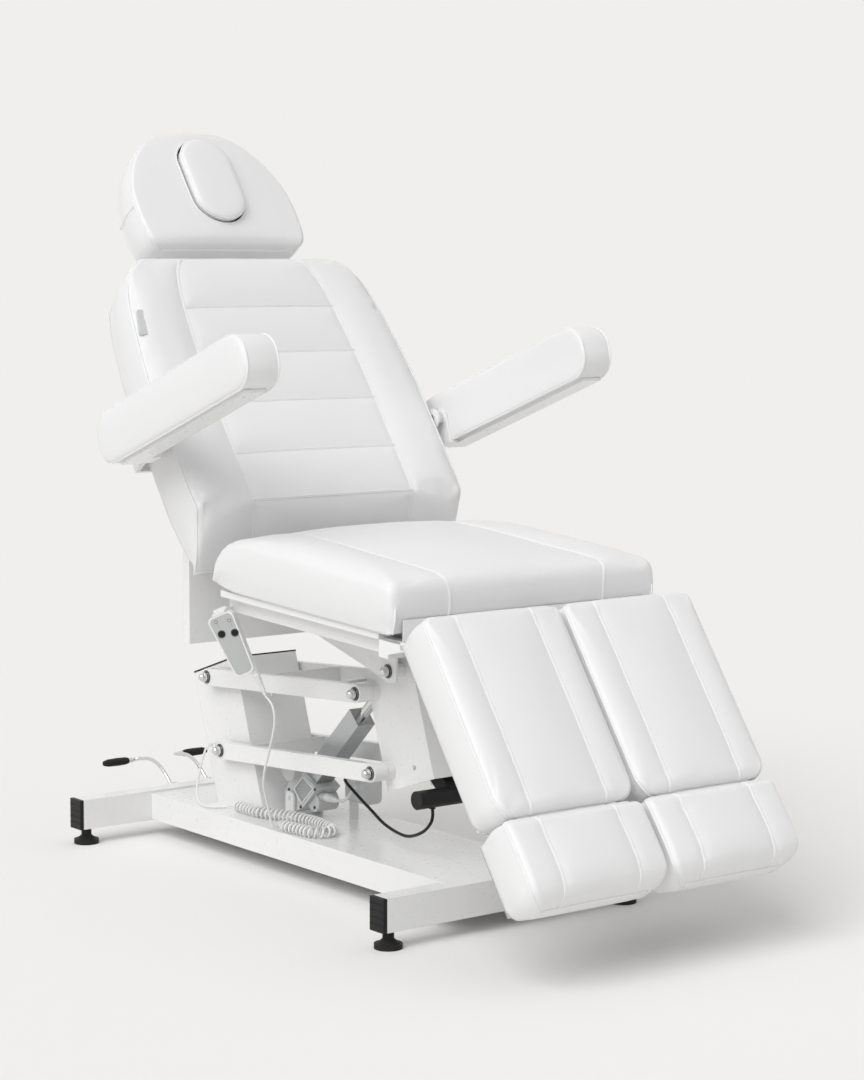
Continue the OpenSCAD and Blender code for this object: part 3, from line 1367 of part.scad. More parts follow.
coil_path_points = [[-128, 36, -2.7], [-123, 36, -2.7], [-117, 28, 0], [-115, 6, 0], [-112, -17, 0], [-110, -40, 0],
    [-106, -54, 0], [-96, -64, 0], [-83, -67, 0], [-70, -64, 0], [-60, -54, 0], [-56, -40, 0], [-52, -13, 0], [-50, 20, 0], [-53, 60, 0], [-63, 98, 0],
    [-76, 130, 0], [-86.5, 160, 0], [-87, 195, 0], [-87, 226, 0],
    [-87, 237, -2.5], [-87, 245, -3]];
tail_points = [[-87, 250, 96.7], [-89, 260, 94.5], [-96, 272, 92], [-114, 290, 91], [-122, 312, 95], [-118, 334, 112],
    [-110, 340, 140], [-104, 336, 175], [-98, 330, 202]];
gland_lead = 5;

function smooth(t) = t <= 0 ? 0 : t >= 1 ? 1 : t * t * (3 - 2 * t);
coil_points = [for (p = coil_path_points) [p[0], p[1], p[2] + coil_z]];
coil_spans = len(coil_points) - 1;
coil_rings = curls * 8;
coil_r = (coil_d - cord_d) / 2;
coil_ease = 10;
coil_rest = 2;
coil_run = [for (i = 0, s = 0; i <= coil_spans;
    s = s + (i < coil_spans ? norm(coil_points[i + 1] - coil_points[i]) : 0), i = i + 1) [s, i]];
function coil_axis(t) = let (s = lookup(min(max(t, 0), 0.99999) * coil_run[coil_spans][0], coil_run), i = floor(s))
    spline_span(coil_points, i, s - i);
function coil_dir(t) = unit(coil_axis(t + 0.002) - coil_axis(t - 0.002));
function coil_wide(i) = coil_r * smooth((i - coil_rest) / coil_ease)
    * smooth((coil_rings - coil_rest - i) / coil_ease);
function coil_point(i) = let (t = i / coil_rings, d = coil_dir(t), a = unit(cross(d, [0, 0, 1])),
    b = cross(a, d), q = 45 * i) coil_axis(t) + coil_wide(i) * (a * cos(q) + b * sin(q));
coil_path = [for (i = [0:coil_rings]) coil_point(i)];
coil_gap = min([for (i = [0:coil_rings - 5])
    min([for (j = [i + 5:coil_rings]) norm(coil_path[i] - coil_path[j])])]) - cord_d;
echo(least_gap_between_curls = coil_gap);

module handset_lead() {
    color("white") tube(concat([lead_start, lead_next], spline(lead_points, 2), [lead_end]), cord_d, 8);
}

module curly_cord() {
    color("white") tube(coil_path, cord_d, 6);
}

module tail_lead() {
    color("white") tube(concat([coil_path[coil_rings]], spline(tail_points, 2), [
        [-col_w / 2 - gland_l - gland_lead, gland_y, gland_z], [-col_w / 2 - gland_l, gland_y, gland_z]]), cord_d, 8);
}

base_frame();
bar_end_caps();
levelling_feet();
column();
column_edge_trim();
column_pivot_bolts();
pedal_left();
pedal_right();
pedal_grip_left();
pedal_grip_right();
control_box();
upper_link();
lower_link();
upper_link_bushes();
lower_link_bushes();
carriage();
carriage_pivot_bolts();
lift_gearbox();
lift_strut();
lift_rod();
motor_strain_relief();
motor_cable();
tilt_actuator();
tilt_rod();
tilt_cable();
seat_frame();
seat_pivot_bolts();
seat_board();
seat_cushion();
hinge_pins();
handset_hook();
handset_case();
handset_face();
button_up();
button_down();
handset_strain_relief();
handset_lead();
curly_cord();
tail_lead();
back_frame();
back_board();
back_cushion();
back_spring_tube();
back_spring_rod();
headrest_posts();
headrest_cushion();
face_plug();
armrest_pivots();
armrest_plate_left();
armrest_plate_right();
armrest_cushion_left();
armrest_cushion_right();
leg_frame_left();
leg_frame_right();
leg_cushion_left();
leg_cushion_right();
foot_frame_left();
foot_frame_right();
foot_cushion_left();
foot_cushion_right();
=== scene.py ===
"""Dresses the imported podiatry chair: materials, upholstery, cords, camera and light."""
import math

import bpy
import numpy as np
from mathutils import Matrix, Vector, noise


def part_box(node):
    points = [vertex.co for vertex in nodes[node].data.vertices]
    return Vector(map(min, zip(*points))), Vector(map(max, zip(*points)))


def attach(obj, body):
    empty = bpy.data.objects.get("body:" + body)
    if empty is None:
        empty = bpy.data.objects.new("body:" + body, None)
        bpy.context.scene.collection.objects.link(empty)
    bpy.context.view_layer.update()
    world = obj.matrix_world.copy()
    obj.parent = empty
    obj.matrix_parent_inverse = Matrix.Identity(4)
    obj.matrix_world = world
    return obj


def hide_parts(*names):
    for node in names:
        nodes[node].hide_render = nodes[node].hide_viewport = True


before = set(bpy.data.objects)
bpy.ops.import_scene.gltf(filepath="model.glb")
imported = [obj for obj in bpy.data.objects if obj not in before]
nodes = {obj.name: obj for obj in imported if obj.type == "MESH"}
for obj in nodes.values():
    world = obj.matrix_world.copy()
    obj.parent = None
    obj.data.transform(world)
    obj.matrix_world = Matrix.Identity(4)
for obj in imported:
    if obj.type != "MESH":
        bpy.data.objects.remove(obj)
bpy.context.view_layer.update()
scene = bpy.context.scene
MM = 0.001

# ---------------------------------------------------------------- camera
CAMERA_AT = (-2.9115, -4.0511, 1.1807)
CAMERA_TURN = (83.854, -0.179, -37.657)
FRAME_HEIGHT_PX = 1080
FOCAL_PX = 2630.3
SENSOR = 36.0
CLIP_END = 100

cam_data = bpy.data.cameras.new("camera")
cam_data.sensor_fit = "VERTICAL"
cam_data.sensor_height = SENSOR
cam_data.sensor_width = SENSOR
cam_data.lens = FOCAL_PX / FRAME_HEIGHT_PX * SENSOR
cam_data.clip_end = CLIP_END
camera = bpy.data.objects.new("camera", cam_data)
camera.location = CAMERA_AT
camera.rotation_euler = [math.radians(a) for a in CAMERA_TURN]
scene.collection.objects.link(camera)
scene.camera = camera


# ---------------------------------------------------------------- materials
NOISE_LOW, NOISE_HIGH = 0.3, 0.7
BEVEL_SAMPLES = 4
POWDER_EDGE, PLASTIC_EDGE, METAL_EDGE = 0.0012, 0.0008, 0.0005
DARK_BELOW = 0.1


class Nodes:
    """A new material's node tree, with its shader and a texture coordinate."""

    def __init__(self, name):
        self.mat = bpy.data.materials.new(name)
        self.mat.use_nodes = True
        self.tree = self.mat.node_tree
        self.shader = self.tree.nodes["Principled BSDF"]
        self.coord = self.tree.nodes.new("ShaderNodeTexCoord").outputs["Object"]

    def new(self, kind, **inputs):
        node = self.tree.nodes.new("ShaderNode" + kind)
        for name, value in inputs.items():
            node.inputs[name.replace("_", " ")].default_value = value
        return node

    def set(self, **inputs):
        for name, value in inputs.items():
            self.shader.inputs[name.replace("_", " ")].default_value = value

    def join(self, a, b):
        self.tree.links.new(a, b)

    def noise(self, scale, detail=3.0, stretch=None):
        n = self.new("TexNoise", Scale=scale, Detail=detail)
        if stretch:
            m = self.new("Mapping", Scale=stretch)
            self.join(self.coord, m.inputs["Vector"])
            self.join(m.outputs["Vector"], n.inputs["Vector"])
        else:
            self.join(self.coord, n.inputs["Vector"])
        return n.outputs["Fac"]

    def cells(self, scale):
        v = self.new("TexVoronoi", Scale=scale)
        self.join(self.coord, v.inputs["Vector"])
        return v.outputs["Distance"]

    def roughness(self, fac, low, high):
        """Spreads a noise over a range of roughness."""
        m = self.new("MapRange", To_Min=low, To_Max=high, From_Min=NOISE_LOW, From_Max=NOISE_HIGH)
        self.join(fac, m.inputs["Value"])
        self.join(m.outputs["Result"], self.shader.inputs["Roughness"])

    def tint(self, fac, a, b):
        m = self.tree.nodes.new("ShaderNodeMix")
        m.data_type = "RGBA"
        factor, first, second = [s for s in m.inputs if s.enabled]
        first.default_value = (*a, 1)
        second.default_value = (*b, 1)
        self.join(fac, factor)
        self.join([s for s in m.outputs if s.enabled][0], self.shader.inputs["Base Color"])

    def bumps(self, layers, edge=0.0):
        """Stacks height layers (output, strength, distance) on rounded edges of that radius."""
        last = None
        if edge:
            b = self.new("Bevel", Radius=edge)
            b.samples = BEVEL_SAMPLES
            last = b.outputs["Normal"]
        for fac, strength, distance in layers:
            b = self.new("Bump", Strength=strength, Distance=distance)
            self.join(fac, b.inputs["Height"])
            if last:
                self.join(last, b.inputs["Normal"])
            last = b.outputs["Normal"]
        self.join(last, self.shader.inputs["Normal"])


def shade(a, k):
    return tuple(min(1.0, c * k) for c in a)


def vinyl(name, color):
    n = Nodes(name)
    n.set(Specular_IOR_Level=0.45, Sheen_Weight=0.12, Sheen_Roughness=0.4)
    n.tint(n.noise(7, 4), shade(color, 0.975), color)
    n.roughness(n.noise(260, 2), 0.36, 0.5)
    n.bumps([(n.noise(9, 2), 0.12, 0.006), (n.cells(820), 0.22, 0.00035), (n.noise(1500, 2), 0.15, 0.0002)])
    return n.mat


def powder(name, color):
    n = Nodes(name)
    n.set(Coat_Weight=0.35, Coat_Roughness=0.12)
    n.tint(n.noise(5, 4), shade(color, 0.97), color)
    n.roughness(n.noise(120, 3), 0.26, 0.38)
    n.bumps([], POWDER_EDGE)
    return n.mat


def plastic(name, color, rough=0.4, grain=0.2, scale=900):
    n = Nodes(name)
    n.set(Specular_IOR_Level=0.5 if color[0] > DARK_BELOW else 0.25)
    n.tint(n.noise(40, 3), shade(color, 0.93), color)
    n.roughness(n.noise(300, 3), rough - 0.06, rough + 0.08)
    n.bumps([(n.cells(scale), grain, 0.0003)], PLASTIC_EDGE)
    return n.mat


def metal(name, color, rough, stretch=None):
    n = Nodes(name)
    n.set(Metallic=1.0)
    grain = n.noise(60, 5, stretch)
    n.tint(n.noise(30, 3), shade(color, 0.93), color)
    n.roughness(grain, rough * 0.75, rough * 1.35)
    n.bumps([(grain, 0.08 if stretch else 0.03, 0.0002)], METAL_EDGE)
    return n.mat


MAT = {
    "vinyl": vinyl("white_vinyl", (0.845, 0.845, 0.85)),
    "piping": vinyl("vinyl_piping", (0.88, 0.88, 0.885)),
    "powder": powder("white_powder_coat", (0.86, 0.86, 0.86)),
    "white_plastic": plastic("white_plastic", (0.85, 0.85, 0.85), 0.33, 0.06),
    "grey_plastic": plastic("grey_plastic", (0.5, 0.515, 0.51), 0.45, 0.12),
    "pale_plastic": plastic("pale_grey_plastic", (0.66, 0.67, 0.67), 0.4, 0.1),
    "black_plastic": plastic("black_plastic", (0.012, 0.012, 0.013), 0.45, 0.35, 420),
    "rubber": plastic("black_rubber", (0.015, 0.015, 0.015), 0.6, 0.4, 700),
    "chrome": metal("chrome", (0.72, 0.72, 0.73), 0.12),
    "steel": metal("zinc_steel", (0.55, 0.56, 0.57), 0.34, (1.0, 12.0, 1.0)),
    "dark_steel": metal("dark_washer_steel", (0.12, 0.12, 0.13), 0.35),
    "vinyl_board": vinyl("board_cover", (0.85, 0.85, 0.85)),
    "dark_window": plastic("window_plastic", (0.42, 0.43, 0.43), 0.3, 0.04),
    "grey_mark": plastic("printed_mark", (0.25, 0.25, 0.25), 0.5, 0.05),
    "white_cord": plastic("white_cord", (0.82, 0.82, 0.81), 0.38, 0.08),
    "black_cord": plastic("black_cord", (0.012, 0.012, 0.012), 0.4, 0.1),
}

NODE_LOOKS = {
    "powder": "base_frame column upper_link lower_link carriage seat_frame back_frame leg_frame_left "
              "leg_frame_right armrest_plate_left armrest_plate_right",
    "white_plastic": "motor_strain_relief handset_hook handset_case handset_strain_relief",
    "pale_plastic": "control_box lift_gearbox",
    "grey_plastic": "handset_face",
    "black_plastic": "bar_end_caps column_edge_trim tilt_actuator button_up button_down back_spring_tube "
                     "upper_link_bushes lower_link_bushes",
    "rubber": "levelling_feet pedal_grip_left pedal_grip_right",
    "chrome": "column_pivot_bolts carriage_pivot_bolts seat_pivot_bolts pedal_left pedal_right lift_rod "
              "tilt_rod back_spring_rod headrest_posts hinge_pins armrest_pivots",
    "steel": "lift_strut foot_frame_left foot_frame_right",
    "vinyl_board": "seat_board back_board",
}


def dress(obj, look):
    obj.data.materials.clear()
    obj.data.materials.append(MAT[look])


for look, names in NODE_LOOKS.items():
    for node in names.split():
        dress(nodes[node], look)


# ---------------------------------------------------------------- places
def place(y, z, turn, x=0.0):
    """Matrix from a part's own millimetres to the shared frame's metres."""
    return (Matrix.Translation((x * MM, y * MM, z * MM)) @ Matrix.Rotation(math.radians(turn), 4, "X")
            @ Matrix.Scale(MM, 4))


ON_SEAT = place(-553.163, 545.955, 2.6)
ON_BACK = place(58.887, 558.733, 54.5)
ON_REST = place(133.788, 856.609, -20.0)
ON_LEG = {side: place(-568.163, 528.955, 55.0, side * 152.5) for side in (-1, 1)}


def to_world(m, points):
    a = np.array(m)
    return np.asarray(points, float) @ a[:3, :3].T + a[:3, 3]


def mesh_object(name, points, faces, look, smooth=True):
    data = bpy.data.meshes.new(name)
    data.from_pydata([tuple(p) for p in points], [], faces)
    data.validate()
    if smooth:
        data.shade_smooth()
    else:
        data.shade_flat()
    obj = bpy.data.objects.new(name, data)
    scene.collection.objects.link(obj)
    dress(obj, look)
    return obj


def bevel_normals(obj, angle=35):
    """Smooth shading that keeps edges sharper than an angle."""
    m = obj.data
    cos = math.cos(math.radians(angle))
    sides = {}
    for p in m.polygons:
        for key in p.edge_keys:
            sides.setdefault(key, []).append(p.normal.copy())
    index = {e.key: e for e in m.edges}
    for key, ns in sides.items():
        if len(ns) != 2 or ns[0].dot(ns[1]) < cos:
            index[key].use_edge_sharp = True


# ---------------------------------------------------------------- cords
def spline_at(a, b, c, d, t):
    return 0.5 * (2 * b + (c - a) * t + (2 * a - 5 * b + 4 * c - d) * t ** 2
                  + (3 * b - a - 3 * c + d) * t ** 3)


def spline_span(p, i, t):
    n = len(p) - 1
    before = p[i - 1] if i > 0 else 2 * p[0] - p[1]
    after = p[i + 2] if i + 2 <= n else 2 * p[n] - p[n - 1]
    return spline_at(before, p[i], p[i + 1], after, t)


def spline(p, steps):
    p = np.asarray(p, float)
    return [spline_span(p, i, k / steps) for i in range(len(p) - 1) for k in range(steps)] + [p[-1]]


def cord_piece(name, node, points, d, look, body):
    """A round cord through points in millimetres, which stands in for a CAD node."""
    p = np.asarray(points, float) * MM
    keep = [0] + [i for i in range(1, len(p)) if np.linalg.norm(p[i] - p[i - 1]) > 1e-6]
    p = p[keep]
    data = bpy.data.curves.new(name, "CURVE")
    data.dimensions = "3D"
    data.bevel_depth = d * MM / 2
    data.bevel_resolution = 4
    data.use_fill_caps = True
    line = data.splines.new("POLY")
    line.points.add(len(p) - 1)
    for q, v in zip(line.points, p):
        q.co = (*v, 1)
    line.use_smooth = True
    obj = bpy.data.objects.new(name, data)
    scene.collection.objects.link(obj)
    dress(obj, look)
    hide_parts(node)
    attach(obj, body)


CORD_D = 4.6
CABLE_D = 6.0
COIL_Z = 99.7
COIL_R = 9.2
CURLS = 44
TURN_STEPS = 20
STRAIGHT_TURNS, EASE_TURNS = 0.25, 1.25
COIL_LAST, COIL_AHEAD = 0.99999, 0.002
LEAD_START = [(-223.89, -67.984, 376.887), (-222.411, -69.152, 372.691)]
LEAD = [(-217.6, -73, 366), (-215, -81, 354), (-212, -82, 333), (-207, -72, 311), (-202, -58, 290),
        (-193, -32, 253), (-183, -4, 215), (-171, 16, 184), (-156, 27, 149), (-144, 34, 118), (-137, 36, 101),
        (-132.8, 36, 97)]
LEAD_END = [(-128.5, 36, 97)]
COIL = [(-128, 36, -2.7), (-123, 36, -2.7), (-117, 28, 0), (-115, 6, 0), (-112, -17, 0), (-110, -40, 0),
        (-106, -54, 0), (-96, -64, 0), (-83, -67, 0), (-70, -64, 0), (-60, -54, 0), (-56, -40, 0),
        (-52, -13, 0), (-50, 20, 0), (-53, 60, 0), (-63, 98, 0), (-76, 130, 0), (-86.5, 160, 0),
        (-87, 195, 0), (-87, 226, 0), (-87, 237, -2.5), (-87, 245, -3)]
TAIL = [(-87, 250, 96.7), (-89, 260, 94.5), (-96, 272, 92), (-114, 290, 91), (-122, 312, 95),
        (-118, 334, 112), (-110, 340, 140), (-104, 336, 175), (-98, 330, 202)]
TAIL_END = [(-88, 328.257, 209.446), (-83, 328.257, 209.446)]
MOTOR_START = [(-8, 4, 138.5)]
MOTOR = [(-8, -2, 138.5), (-7, -14, 141), (-4, -24, 149), (2, -29, 160), (12, -24, 168), (22, -13, 170),
         (28, -10, 170)]
MOTOR_END = [(32, -10, 170)]
TILT_START = [(32, -14, 188)]
TILT = [(26, -14, 188), (14, -18, 189), (0, -26, 189), (-20, -38, 186), (-24, -84, 165), (-28, -134, 145),
        (-33, -182, 128), (-38, -235, 120), (-42, -275, 123), (-46, -318, 140), (-49, -343, 160),
        (-49, -348.7, 174), (-49, -348.7, 182)]
TILT_END = [(-49, -348.7, 188)]
SPLINE_STEPS = 5


def smooth_step(t):
    t = min(max(t, 0.0), 1.0)
    return t * t * (3 - 2 * t)


def coil_path():
    """The curls: a helix on a spline, spaced evenly along its chords, easing in and out at its ends."""
    p = np.array(COIL, float) + (0, 0, COIL_Z)
    run = np.concatenate([[0], np.cumsum(np.linalg.norm(np.diff(p, axis=0), axis=1))])

    def axis(t):
        s = np.interp(min(max(t, 0.0), COIL_LAST) * run[-1], run, np.arange(len(p)))
        return spline_span(p, int(s), s - int(s))

    total = CURLS * TURN_STEPS
    ease = EASE_TURNS * TURN_STEPS
    rest = STRAIGHT_TURNS * TURN_STEPS
    out = []
    for i in range(total + 1):
        t = i / total
        d = axis(t + COIL_AHEAD) - axis(t - COIL_AHEAD)
        d /= np.linalg.norm(d)
        a = np.cross(d, (0, 0, 1.0))
        a /= np.linalg.norm(a)
        b = np.cross(a, d)
        q = 2 * math.pi * i / TURN_STEPS
        wide = COIL_R * smooth_step((i - rest) / ease) * smooth_step((total - rest - i) / ease)
        out.append(axis(t) + wide * (a * math.cos(q) + b * math.sin(q)))
    return out


coil = coil_path()
cord_piece("handset_lead_cord", "handset_lead", LEAD_START + spline(LEAD, SPLINE_STEPS) + LEAD_END, CORD_D,
           "white_cord", "seat")
cord_piece("curly_cord_curls", "curly_cord", coil, CORD_D, "white_cord", "root")
cord_piece("curly_cord_tail", "tail_lead", [coil[-1]] + spline(TAIL, SPLINE_STEPS) + TAIL_END, CORD_D,
           "white_cord", "root")
cord_piece("motor_cable_cord", "motor_cable", MOTOR_START + spline(MOTOR, SPLINE_STEPS) + MOTOR_END, CABLE_D,
           "white_cord", "root")
cord_piece("tilt_cable_cord", "tilt_cable", TILT_START + spline(TILT, SPLINE_STEPS) + TILT_END, CABLE_D,
           "black_cord", "root")


# ---------------------------------------------------------------- upholstery
def lookup(table, s):
    """A smooth curve through a table's (share, value) pairs."""
    x = np.array([r[0] for r in table], float)
    y = np.array([r[1] for r in table], float)
    h = np.diff(x)
    k = np.diff(y) / h
    inner = np.where(k[:-1] * k[1:] > 0, 2 * k[:-1] * k[1:] / (k[:-1] + k[1:] + 1e-12), 0)
    m = np.concatenate([[k[0]], inner, [k[-1]]])
    s = np.clip(s, x[0], x[-1])
    i = np.clip(np.searchsorted(x, s, "right") - 1, 0, len(h) - 1)
    t = (s - x[i]) / h[i]
    return ((2 * t ** 3 - 3 * t ** 2 + 1) * y[i] + (t ** 3 - 2 * t ** 2 + t) * h[i] * m[i]
            + (3 * t ** 2 - 2 * t ** 3) * y[i + 1] + (t ** 3 - t ** 2) * h[i] * m[i + 1])


def corner(d, r):
    """How far a rounded corner of radius r draws in at distance d from the end."""
    if r <= 0:
        return np.zeros_like(d)
    k = np.clip(r - d, 0, r)
    return r - np.sqrt(np.maximum(r * r - k * k, 0))


MARK_STEPS = (-1.6, -0.8, -0.35, 0, 0.35, 0.8, 1.6)
MARK_CLEAR = 0.8
END_STEPS = 12
LEAST_STEP = 1e-4


def steps(n, marks, spread, near):
    """n even shares from -1 to 1, with closer ones at both ends and beside each mark."""
    ends = [1 - near * (1 - math.cos(k * math.pi / END_STEPS)) for k in range(1, END_STEPS // 2 + 1)]
    out = list(np.linspace(-1, 1, n)) + ends + [-e for e in ends]
    for m in marks:
        out = [v for v in out if abs(v - m) > spread * MARK_CLEAR]
        out += [m + spread * k for k in MARK_STEPS]
    out = sorted(v for v in out if -1 <= v <= 1)
    keep = [out[0]]
    for v in out[1:]:
        if v - keep[-1] > LEAST_STEP:
            keep.append(v)
    keep[-1] = 1.0
    return np.array(keep)


def tangents(loop, reach):
    """The direction of a closed outline at each point, taken over reach to both sides."""
    run = np.concatenate([[0], np.cumsum(np.linalg.norm(np.roll(loop, -1, 0) - loop, axis=1))])
    shut = np.vstack([loop, loop[:1]])
    before, after = [np.stack([np.interp(np.mod(run[:-1] + k, run[-1]), run, shut[:, c]) for c in (0, 1)], 1)
                     for k in (-reach, reach)]
    return after - before


# Seams: how far their valleys and their closer mesh rows reach, and how they fade to a pad's ends
SEAM_NARROW, SEAM_WIDE, CHANNEL_WIDE = 9.0, 26, 30
NARROW_SHARE, WIDE_SHARE = 0.65, 0.35
SEAM_SPREAD, CHANNEL_SPREAD, CHANNEL_FADE = 10, 20, 0.03
EDGE_SPREAD, EDGE_MOST = 14, 0.3
CALM_END, CALM_LEAST = 30, 0.25
FAR_OFF = 1e3
# Corners: where their rounding begins, beyond the outer seam or from the middle
DRAW_PAST, DRAW_FROM = 0.12, 0.25
# Ripples of the cover in millimetres, and puckers along its seams
WAVE, WAVE_LONG, WAVE_SHORT, WAVE_EDGE = 0.7, 70, 26, 20
PUCKER, PUCKER_LONG, PUCKER_REACH = 0.45, 9, 14
# The side band: where it swells, tucks in and turns under
BAND_SWELL, SWELL_POWER, BAND_TUCK, TUCK_POWER = 1.15, 0.8, 0.25, 1.3
BAND_ROUND, ROUND_DEPTH, ROUND_TURN = 0.9, 0.1, 5 * math.pi
TURN_REACH = 9.0
STRAIGHT = [(0, 1), (1, 1)]


def groove(gap, wide):
    """A seam's valley at a distance from it: a narrow one in a wide one."""
    return np.exp(-(gap / SEAM_NARROW) ** 2) * NARROW_SHARE + np.exp(-(gap / wide) ** 2) * WIDE_SHARE


def noise_grid(x, y, value):
    return np.array([[value(a, b) for a, b in zip(r, q)] for r, q in zip(x, y)])


def wrinkles(x, y, edge, gap, seed):
    """Heights of a cover's ripples, which end at its edge, and of the puckers beside its seams."""
    ripple = noise_grid(x, y, lambda a, b: noise.noise((a / WAVE_LONG + seed, b / WAVE_LONG, 3.7 * seed))
                        + 0.5 * noise.noise((a / WAVE_SHORT, b / WAVE_SHORT + seed, seed)))
    pucker = noise_grid(x, y, lambda a, b: noise.noise((a / PUCKER_LONG + seed, b / PUCKER_LONG, 1.3 * seed)))
    return (WAVE * ripple * np.clip(edge / WAVE_EDGE, 0, 1)
            + PUCKER * WAVE * pucker * np.exp(-(gap / PUCKER_REACH) ** 2))


class Pad:
    """A sewn cushion: a crowned face with sunken seams, a side band that pulls in, and a flat back."""

    def __init__(self, name, place_at, origin, length, half, thick, high, low, side, crown, *, rise, fold,
                 end_fold, foot, bulge, nu, ns, seed, corners=(0, 0), u_seams=(), s_seams=(), depth=0.0,
                 band_rows=12):
        self.name = name
        us = steps(nu, [k * u for u in u_seams for k in (-1, 1)], SEAM_SPREAD / half,
                   min(EDGE_MOST, max(fold, EDGE_SPREAD) / half))
        ss = steps(ns, [2 * s - 1 for s in s_seams], CHANNEL_SPREAD / length,
                   min(EDGE_MOST, 2 * max(corners[0], corners[1], EDGE_SPREAD) / length))
        S = (ss + 1) / 2
        nu, ns = len(us), len(ss)
        U, V = np.meshgrid(us, S)
        d0, d1 = V * length, (1 - V) * length
        wide = half * lookup(side, V)
        draw = corner(d0, corners[0]) + corner(d1, corners[1])
        reach = (max(u_seams) + DRAW_PAST) if u_seams else DRAW_FROM
        k = np.clip((abs(U) - reach) / (1 - reach), 0, 1)
        x = U * wide - np.sign(U) * draw * k * k * (3 - 2 * k)
        edge = (1 - abs(U)) * wide
        z = thick * lookup(high, V) + rise * lookup(crown, V) * (1 - U * U) - corner(edge, fold)
        z -= corner(d0, end_fold) + corner(d1, end_fold)
        gap = np.full_like(U, FAR_OFF)
        for u in u_seams:
            gap = np.minimum(gap, abs(abs(U) - u) * wide)
        valley = groove(gap, SEAM_WIDE)
        for s in s_seams:
            inside = np.clip((max(u_seams) - abs(U)) / CHANNEL_FADE + 1, 0, 1)
            valley = np.maximum(valley, groove(abs(V - s) * length, CHANNEL_WIDE) * inside)
        z -= depth * valley * np.clip(np.minimum(d0, d1) / CALM_END, CALM_LEAST, 1)
        z += wrinkles(x, d0, edge, gap, seed)
        top = np.stack([x, d0, z], -1)
        ring = [(0, j) for j in range(nu)] + [(i, nu - 1) for i in range(1, ns)]
        ring += [(ns - 1, j) for j in range(nu - 2, -1, -1)] + [(i, 0) for i in range(ns - 2, 0, -1)]
        self.ring = ring
        loop = np.array([top[i, j] for i, j in ring])
        rows = self.band_lines(loop, thick * lookup(low, loop[:, 1] / length), bulge, foot, band_rows)
        shrink = 1 - foot / half
        bottom = np.stack([x * shrink, length / 2 + (d0 - length / 2) * (1 - 2 * foot / length),
                           thick * lookup(low, V)], -1)
        points = list(top.reshape(-1, 3))
        index = {(i, j): i * nu + j for i in range(ns) for j in range(nu)}
        self.band = [[index[q] for q in ring]]
        for row in rows:
            start = len(points)
            points += list(row)
            self.band.append(list(range(start, start + len(ring))))
        under = {q: self.band[-1][k] for k, q in enumerate(ring)}
        for i in range(1, ns - 1):
            for j in range(1, nu - 1):
                under[i, j] = len(points)
                points.append(bottom[i, j])
        local = np.array(points) + np.array(origin, float)
        self.us, self.S, self.index = us, S, index
        self.obj = mesh_object(name, to_world(place_at, local), self.faces(under), "vinyl")
        self.held = set(under.values()) | set(self.band[-1])

    @staticmethod
    def band_lines(loop, floor_z, bulge, foot, count):
        """The side band's rows, from just under the face's edge to the back's."""
        way = tangents(loop[:, :2], TURN_REACH)
        out = np.stack([way[:, 1], -way[:, 0]], 1)
        out /= np.maximum(np.linalg.norm(out, axis=1, keepdims=True), 1e-9)
        rows = []
        for r in range(1, count + 1):
            t = r / count
            full = t * BAND_SWELL
            swell = bulge * math.sin(math.pi * full) ** SWELL_POWER if full < 1 else 0
            push = swell - foot * smooth_step((t - BAND_TUCK) / (1 - BAND_TUCK)) ** TUCK_POWER
            down = t if t < BAND_ROUND else BAND_ROUND + ROUND_DEPTH * math.sin((t - BAND_ROUND) * ROUND_TURN)
            level = loop[:, 2] + (floor_z - loop[:, 2]) * down
            rows.append(np.stack([loop[:, 0] + out[:, 0] * push, loop[:, 1] + out[:, 1] * push, level], 1))
        return rows

    def faces(self, under):
        """Quads of the face and the back, then of the band between them."""
        index = self.index
        faces = []
        for i in range(len(self.S) - 1):
            for j in range(len(self.us) - 1):
                faces.append((index[i, j], index[i, j + 1], index[i + 1, j + 1], index[i + 1, j]))
                faces.append((under[i, j], under[i + 1, j], under[i + 1, j + 1], under[i, j + 1]))
        n = len(self.ring)
        for a, b in zip(self.band, self.band[1:]):
            faces += [(a[k], b[k], b[(k + 1) % n], a[(k + 1) % n]) for k in range(n)]
        return faces

    def column(self, u):
        """The face's line of points along its length at u, from the far end to the near one."""
        j = int(abs(self.us - u).argmin())
        return [self.index[i, j] for i in range(len(self.S) - 1, -1, -1)]

    def row(self, s, u):
        """The face's line of points across it at share s of its length, out to u on both sides."""
        i = int(abs(self.S - s).argmin())
        return [self.index[i, j] for j in range(len(self.us)) if abs(self.us[j]) <= u + 1e-6]

    def down(self, u):
        """The line down the front of the band from the fold at u."""
        k = self.ring.index((0, int(abs(self.us - u).argmin())))
        return [r[k] for r in self.band]

    def vertex(self, ids):
        m = self.obj.data
        return (np.array([m.vertices[i].co[:] for i in ids]), np.array([m.vertices[i].normal[:] for i in ids]))


PRESSURE = 4.0
PUFF_FRAMES = 14
PUFF_MOST = 0.006


